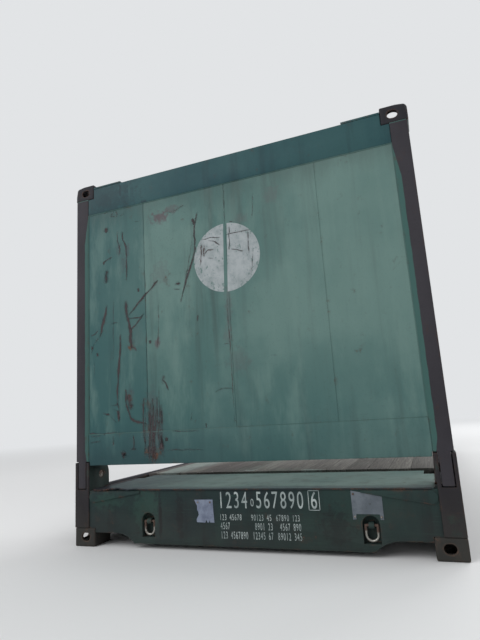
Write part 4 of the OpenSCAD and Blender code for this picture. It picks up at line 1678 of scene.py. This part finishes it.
FRONT_BENDS = (
    Bend(0.690, 0.800, 0.008, 0.070),
    Bend(0.800, 0.980, 0.013, 0.110),
    Bend(0.395, 0.500, 0.004, 0.060),
    Bend(-0.800, -0.730, 0.005, 0.050),
    Bend(-0.900, -0.815, 0.010, 0.070),
    Bend(-1.010, -0.905, 0.007, 0.060),
)
REAR_BENDS = (
    Bend(-0.720, -0.560, 0.008, 0.080),
    Bend(0.250, 0.330, 0.006, 0.060),
    Bend(0.820, 0.980, 0.009, 0.090),
)
TORN_OUTLINE = (
    (0.315, 0.299), (0.191, 0.300), (0.189, 0.240), (0.185, 0.166), (0.212, 0.167), (0.217, 0.180),
    (0.222, 0.166), (0.232, 0.167), (0.238, 0.184), (0.246, 0.166), (0.302, 0.168), (0.304, 0.184),
    (0.297, 0.196), (0.288, 0.210), (0.291, 0.228), (0.299, 0.240), (0.297, 0.262), (0.304, 0.276))
GREY_OUTLINE = ((-0.652, 0.350), (-0.817, 0.318), (-0.817, 0.197), (-0.799, 0.198), (-0.797, 0.226),
                (-0.672, 0.226), (-0.670, 0.199), (-0.652, 0.197))


@dataclass
class EndSill:
    """The base's end: sill, deck plate, hinge stubs, lower castings and lashing rings."""

    end: End
    plate_t: float = 0.0015
    sill_face: float = 0.008
    cut_pitch: float = 0.016
    cut_margin: float = 0.02
    rivet_r: float = 0.006
    rivet_lift: float = 0.0012
    rivet_places: tuple[tuple[float, float], ...] = (
        (0.292, 0.284), (0.209, 0.284), (-0.664, 0.331), (-0.664, 0.212), (-0.806, 0.212))

    @property
    def bends(self) -> tuple[Bend, ...]:
        """The places where this end's deck plate is bent up."""
        return FRONT_BENDS if self.end is End.FRONT else REAR_BENDS

    def deck_plate(self) -> None:
        """Builds the deck plate with its outer edge bent up where loads have struck it."""
        node = f"deck_plate_{self.end.value}"
        bm = softened(node, 0.0018)
        bmesh.ops.transform(bm, matrix=self.end.place.inverted(), verts=bm.verts)
        for bend in self.bends:
            steps = max(4, round((bend.high - bend.low) / self.cut_pitch))
            cuts = [((0.0, bend.low + (bend.high - bend.low) * step / steps, 0.0), (0.0, 1.0, 0.0))
                    for step in range(steps + 1)]
            cuts += [((bend.deep * share, 0.0, 0.0), (1.0, 0.0, 0.0)) for share in (0.2, 0.4, 0.6, 0.8, 1.0)]
            for point, normal in cuts:
                near = [face for face in bm.faces
                        if any(bend.low - self.cut_margin < v.co.y < bend.high + self.cut_margin
                               for v in face.verts)
                        or face.calc_area() > 0.2]
                parts = near + list({edge for face in near for edge in face.edges})
                parts += list({vert for face in near for vert in face.verts})
                cut(bm, point, normal, parts)
        for bend in self.bends:
            for vert in bm.verts:
                share = (vert.co.y - bend.low) / (bend.high - bend.low)
                if 0.0 < share < 1.0 and vert.co.x < bend.deep:
                    crumple = 0.75 + 0.5 * noise.noise(Vector((vert.co.y * 28, bend.low * 9, 0.0)))
                    rise = math.sin(math.pi * share) ** 0.7 * (1.0 - vert.co.x / bend.deep) ** 2
                    vert.co.z += bend.lift * rise * crumple
        publish(bm, f"{node}_steel", DECK_GREEN, "base", self.end.place, [node])

    def plate(self, name: str, outline: Iterable[tuple[float, float]], finish: Finish, face: float) -> None:
        """Fixes a blank plate to the sill.

        Args:
            name: The piece's name.
            outline: The plate's corners, across and up.
            finish: Its looks.
            face: The depth of the sill's face.
        """
        bm = bmesh.new()
        sheet = bm.faces.new([bm.verts.new((face - self.plate_t, y, z)) for y, z in outline])
        sheet.normal_update()
        bmesh.ops.triangulate(bm, faces=[sheet])
        if sum(part.normal.x for part in bm.faces) > 0:
            bmesh.ops.reverse_faces(bm, faces=bm.faces)
        bmesh.ops.solidify(bm, geom=bm.faces[:], thickness=self.plate_t * 1.2)
        bmesh.ops.recalc_face_normals(bm, faces=bm.faces)
        publish(bm, name, finish, "base", self.end.place)

    def rivets(self, face: float) -> None:
        """Puts a rivet in each plate's corners.

        Args:
            face: The depth of the sill's face.
        """
        bm = bmesh.new()
        turn = Matrix.Rotation(-math.pi / 2, 4, "Y")
        for y, z in self.rivet_places:
            at = Matrix.Translation((face - self.plate_t - self.rivet_lift, y, z)) @ turn
            bmesh.ops.create_uvsphere(bm, u_segments=12, v_segments=6, radius=self.rivet_r,
                                      matrix=at @ Matrix.Diagonal((1.0, 1.0, 0.5, 1.0)))
        publish(bm, "plate_rivets", SCREW_STEEL, "base", self.end.place)

    def build(self) -> None:
        """Builds the whole end of the base."""
        end = self.end.value
        for side in Side:
            round_steel(f"casting_base_{end}_{side.value}", BASE_CASTING, "base", 0.0025)
            round_steel(f"hinge_stub_{end}_{side.value}", STUB_GREEN, "base", 0.004)
            dress(f"ring_{end}_{side.value}", RING_STEEL)
        round_steel(f"end_sill_{end}", SILL_GREEN, "base", 0.002)
        self.deck_plate()
        if self.end is End.FRONT:
            self.plate("plate_torn", TORN_OUTLINE, PLATE_PALE, self.sill_face)
            self.plate("plate_grey", GREY_OUTLINE, PLATE_GREY, self.sill_face)
            self.rivets(self.sill_face)
            Numbers(self.sill_face).build()


@dataclass
class Deck:
    """The timber floor, laid as single planks that butt over the cross members and are screwed to them."""

    rows: int = 15
    gap: float = 0.003
    edge: float = 0.002
    members: int = 13
    member_inset: float = 0.030
    sink: float = 0.0022
    screw_r: float = 0.0065
    screw_t: float = 0.003
    screw_stray: tuple[float, float] = (0.012, 0.006)
    seed: int = 7

    def __post_init__(self) -> None:
        """Reads the floor's place from the frame."""
        self.low, self.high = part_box("timber_floor")
        member_low, member_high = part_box("cross_members")
        self.first = member_low.x + self.member_inset
        self.pitch = (member_high.x - member_low.x - 2 * self.member_inset) / (self.members - 1)
        self.row_w = (self.high.y - self.low.y) / self.rows

    def build(self) -> None:
        """Lays the planks and drives the screws."""
        draw = random.Random(self.seed)
        planks, screws = bmesh.new(), bmesh.new()
        tone = planks.verts.layers.float.new("board")
        along, aside = self.screw_stray
        for row in range(self.rows):
            y = self.low.y + row * self.row_w
            joints = sorted(draw.sample(range(2, self.members - 2), 2))
            if joints[1] - joints[0] < 3:
                joints = joints[:1]
            stops = [self.low.x] + [self.first + j * self.pitch for j in joints] + [self.high.x]
            for start, stop in zip(stops, stops[1:]):
                top = self.high.z - draw.uniform(0.0, self.sink)
                near = (start + self.gap / 2, y + self.gap / 2, self.low.z)
                far = (stop - self.gap / 2, y + self.row_w - self.gap / 2, top)
                verts = block(planks, near, far, self.edge)
                shade = draw.random()
                for vert in verts:
                    vert[tone] = shade
            for member in range(self.members):
                for share in (0.25, 0.75):
                    place = Vector((self.first + member * self.pitch + draw.uniform(-along, along),
                                    y + share * self.row_w + draw.uniform(-aside, aside),
                                    self.high.z - self.sink))
                    bmesh.ops.create_cone(screws, cap_ends=True, segments=10, radius1=self.screw_r,
                                          radius2=self.screw_r * 0.8, depth=self.screw_t,
                                          matrix=Matrix.Translation(place))
        publish(planks, "floor_planks", PLANKS, "base", None, ["timber_floor"])
        publish(screws, "floor_screws", SCREW_STEEL, "base")


@dataclass
class Underframe:
    """The base's side rails, cross members, fork pockets and hinge pins."""

    edge: float = 0.003
    pin_edge: float = 0.003
    pin_share: float = 0.994

    def pins(self) -> None:
        """Builds the round-ended hinge pins, drawn in a little so that they turn freely in their bores."""
        low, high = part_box("hinge_pins")
        radius = (high.z - low.z) / 2
        bm = softened("hinge_pins", self.pin_edge)
        for side in (-1, 1):
            near = [vert for vert in bm.verts if vert.co.x * side > 0]
            axis = Matrix.Translation((-side * (high.x - radius), 0.0, radius - high.z))
            bmesh.ops.scale(bm, vec=(self.pin_share, 1.0, self.pin_share), space=axis, verts=near)
        publish(bm, "hinge_pins_steel", PIN_STEEL, "base", None, ["hinge_pins"])

    def build(self) -> None:
        """Builds the underframe."""
        for side in Side:
            round_steel(f"side_rail_{side.value}", RAIL_BROWN, "base", self.edge)
        dress("cross_members", BASE_GREEN)
        dress("fork_pockets", BASE_GREEN)
        self.pins()


def main() -> None:
    """Builds the studio and then the rack, sub-assembly by sub-assembly."""
    logging.basicConfig(level=logging.INFO, format="%(message)s", stream=sys.stdout)
    Studio().build()
    Underframe().build()
    Deck().build()
    for end in End:
        EndSill(end).build()
        EndWall(end).build()


if __name__ == "__main__":
    main()
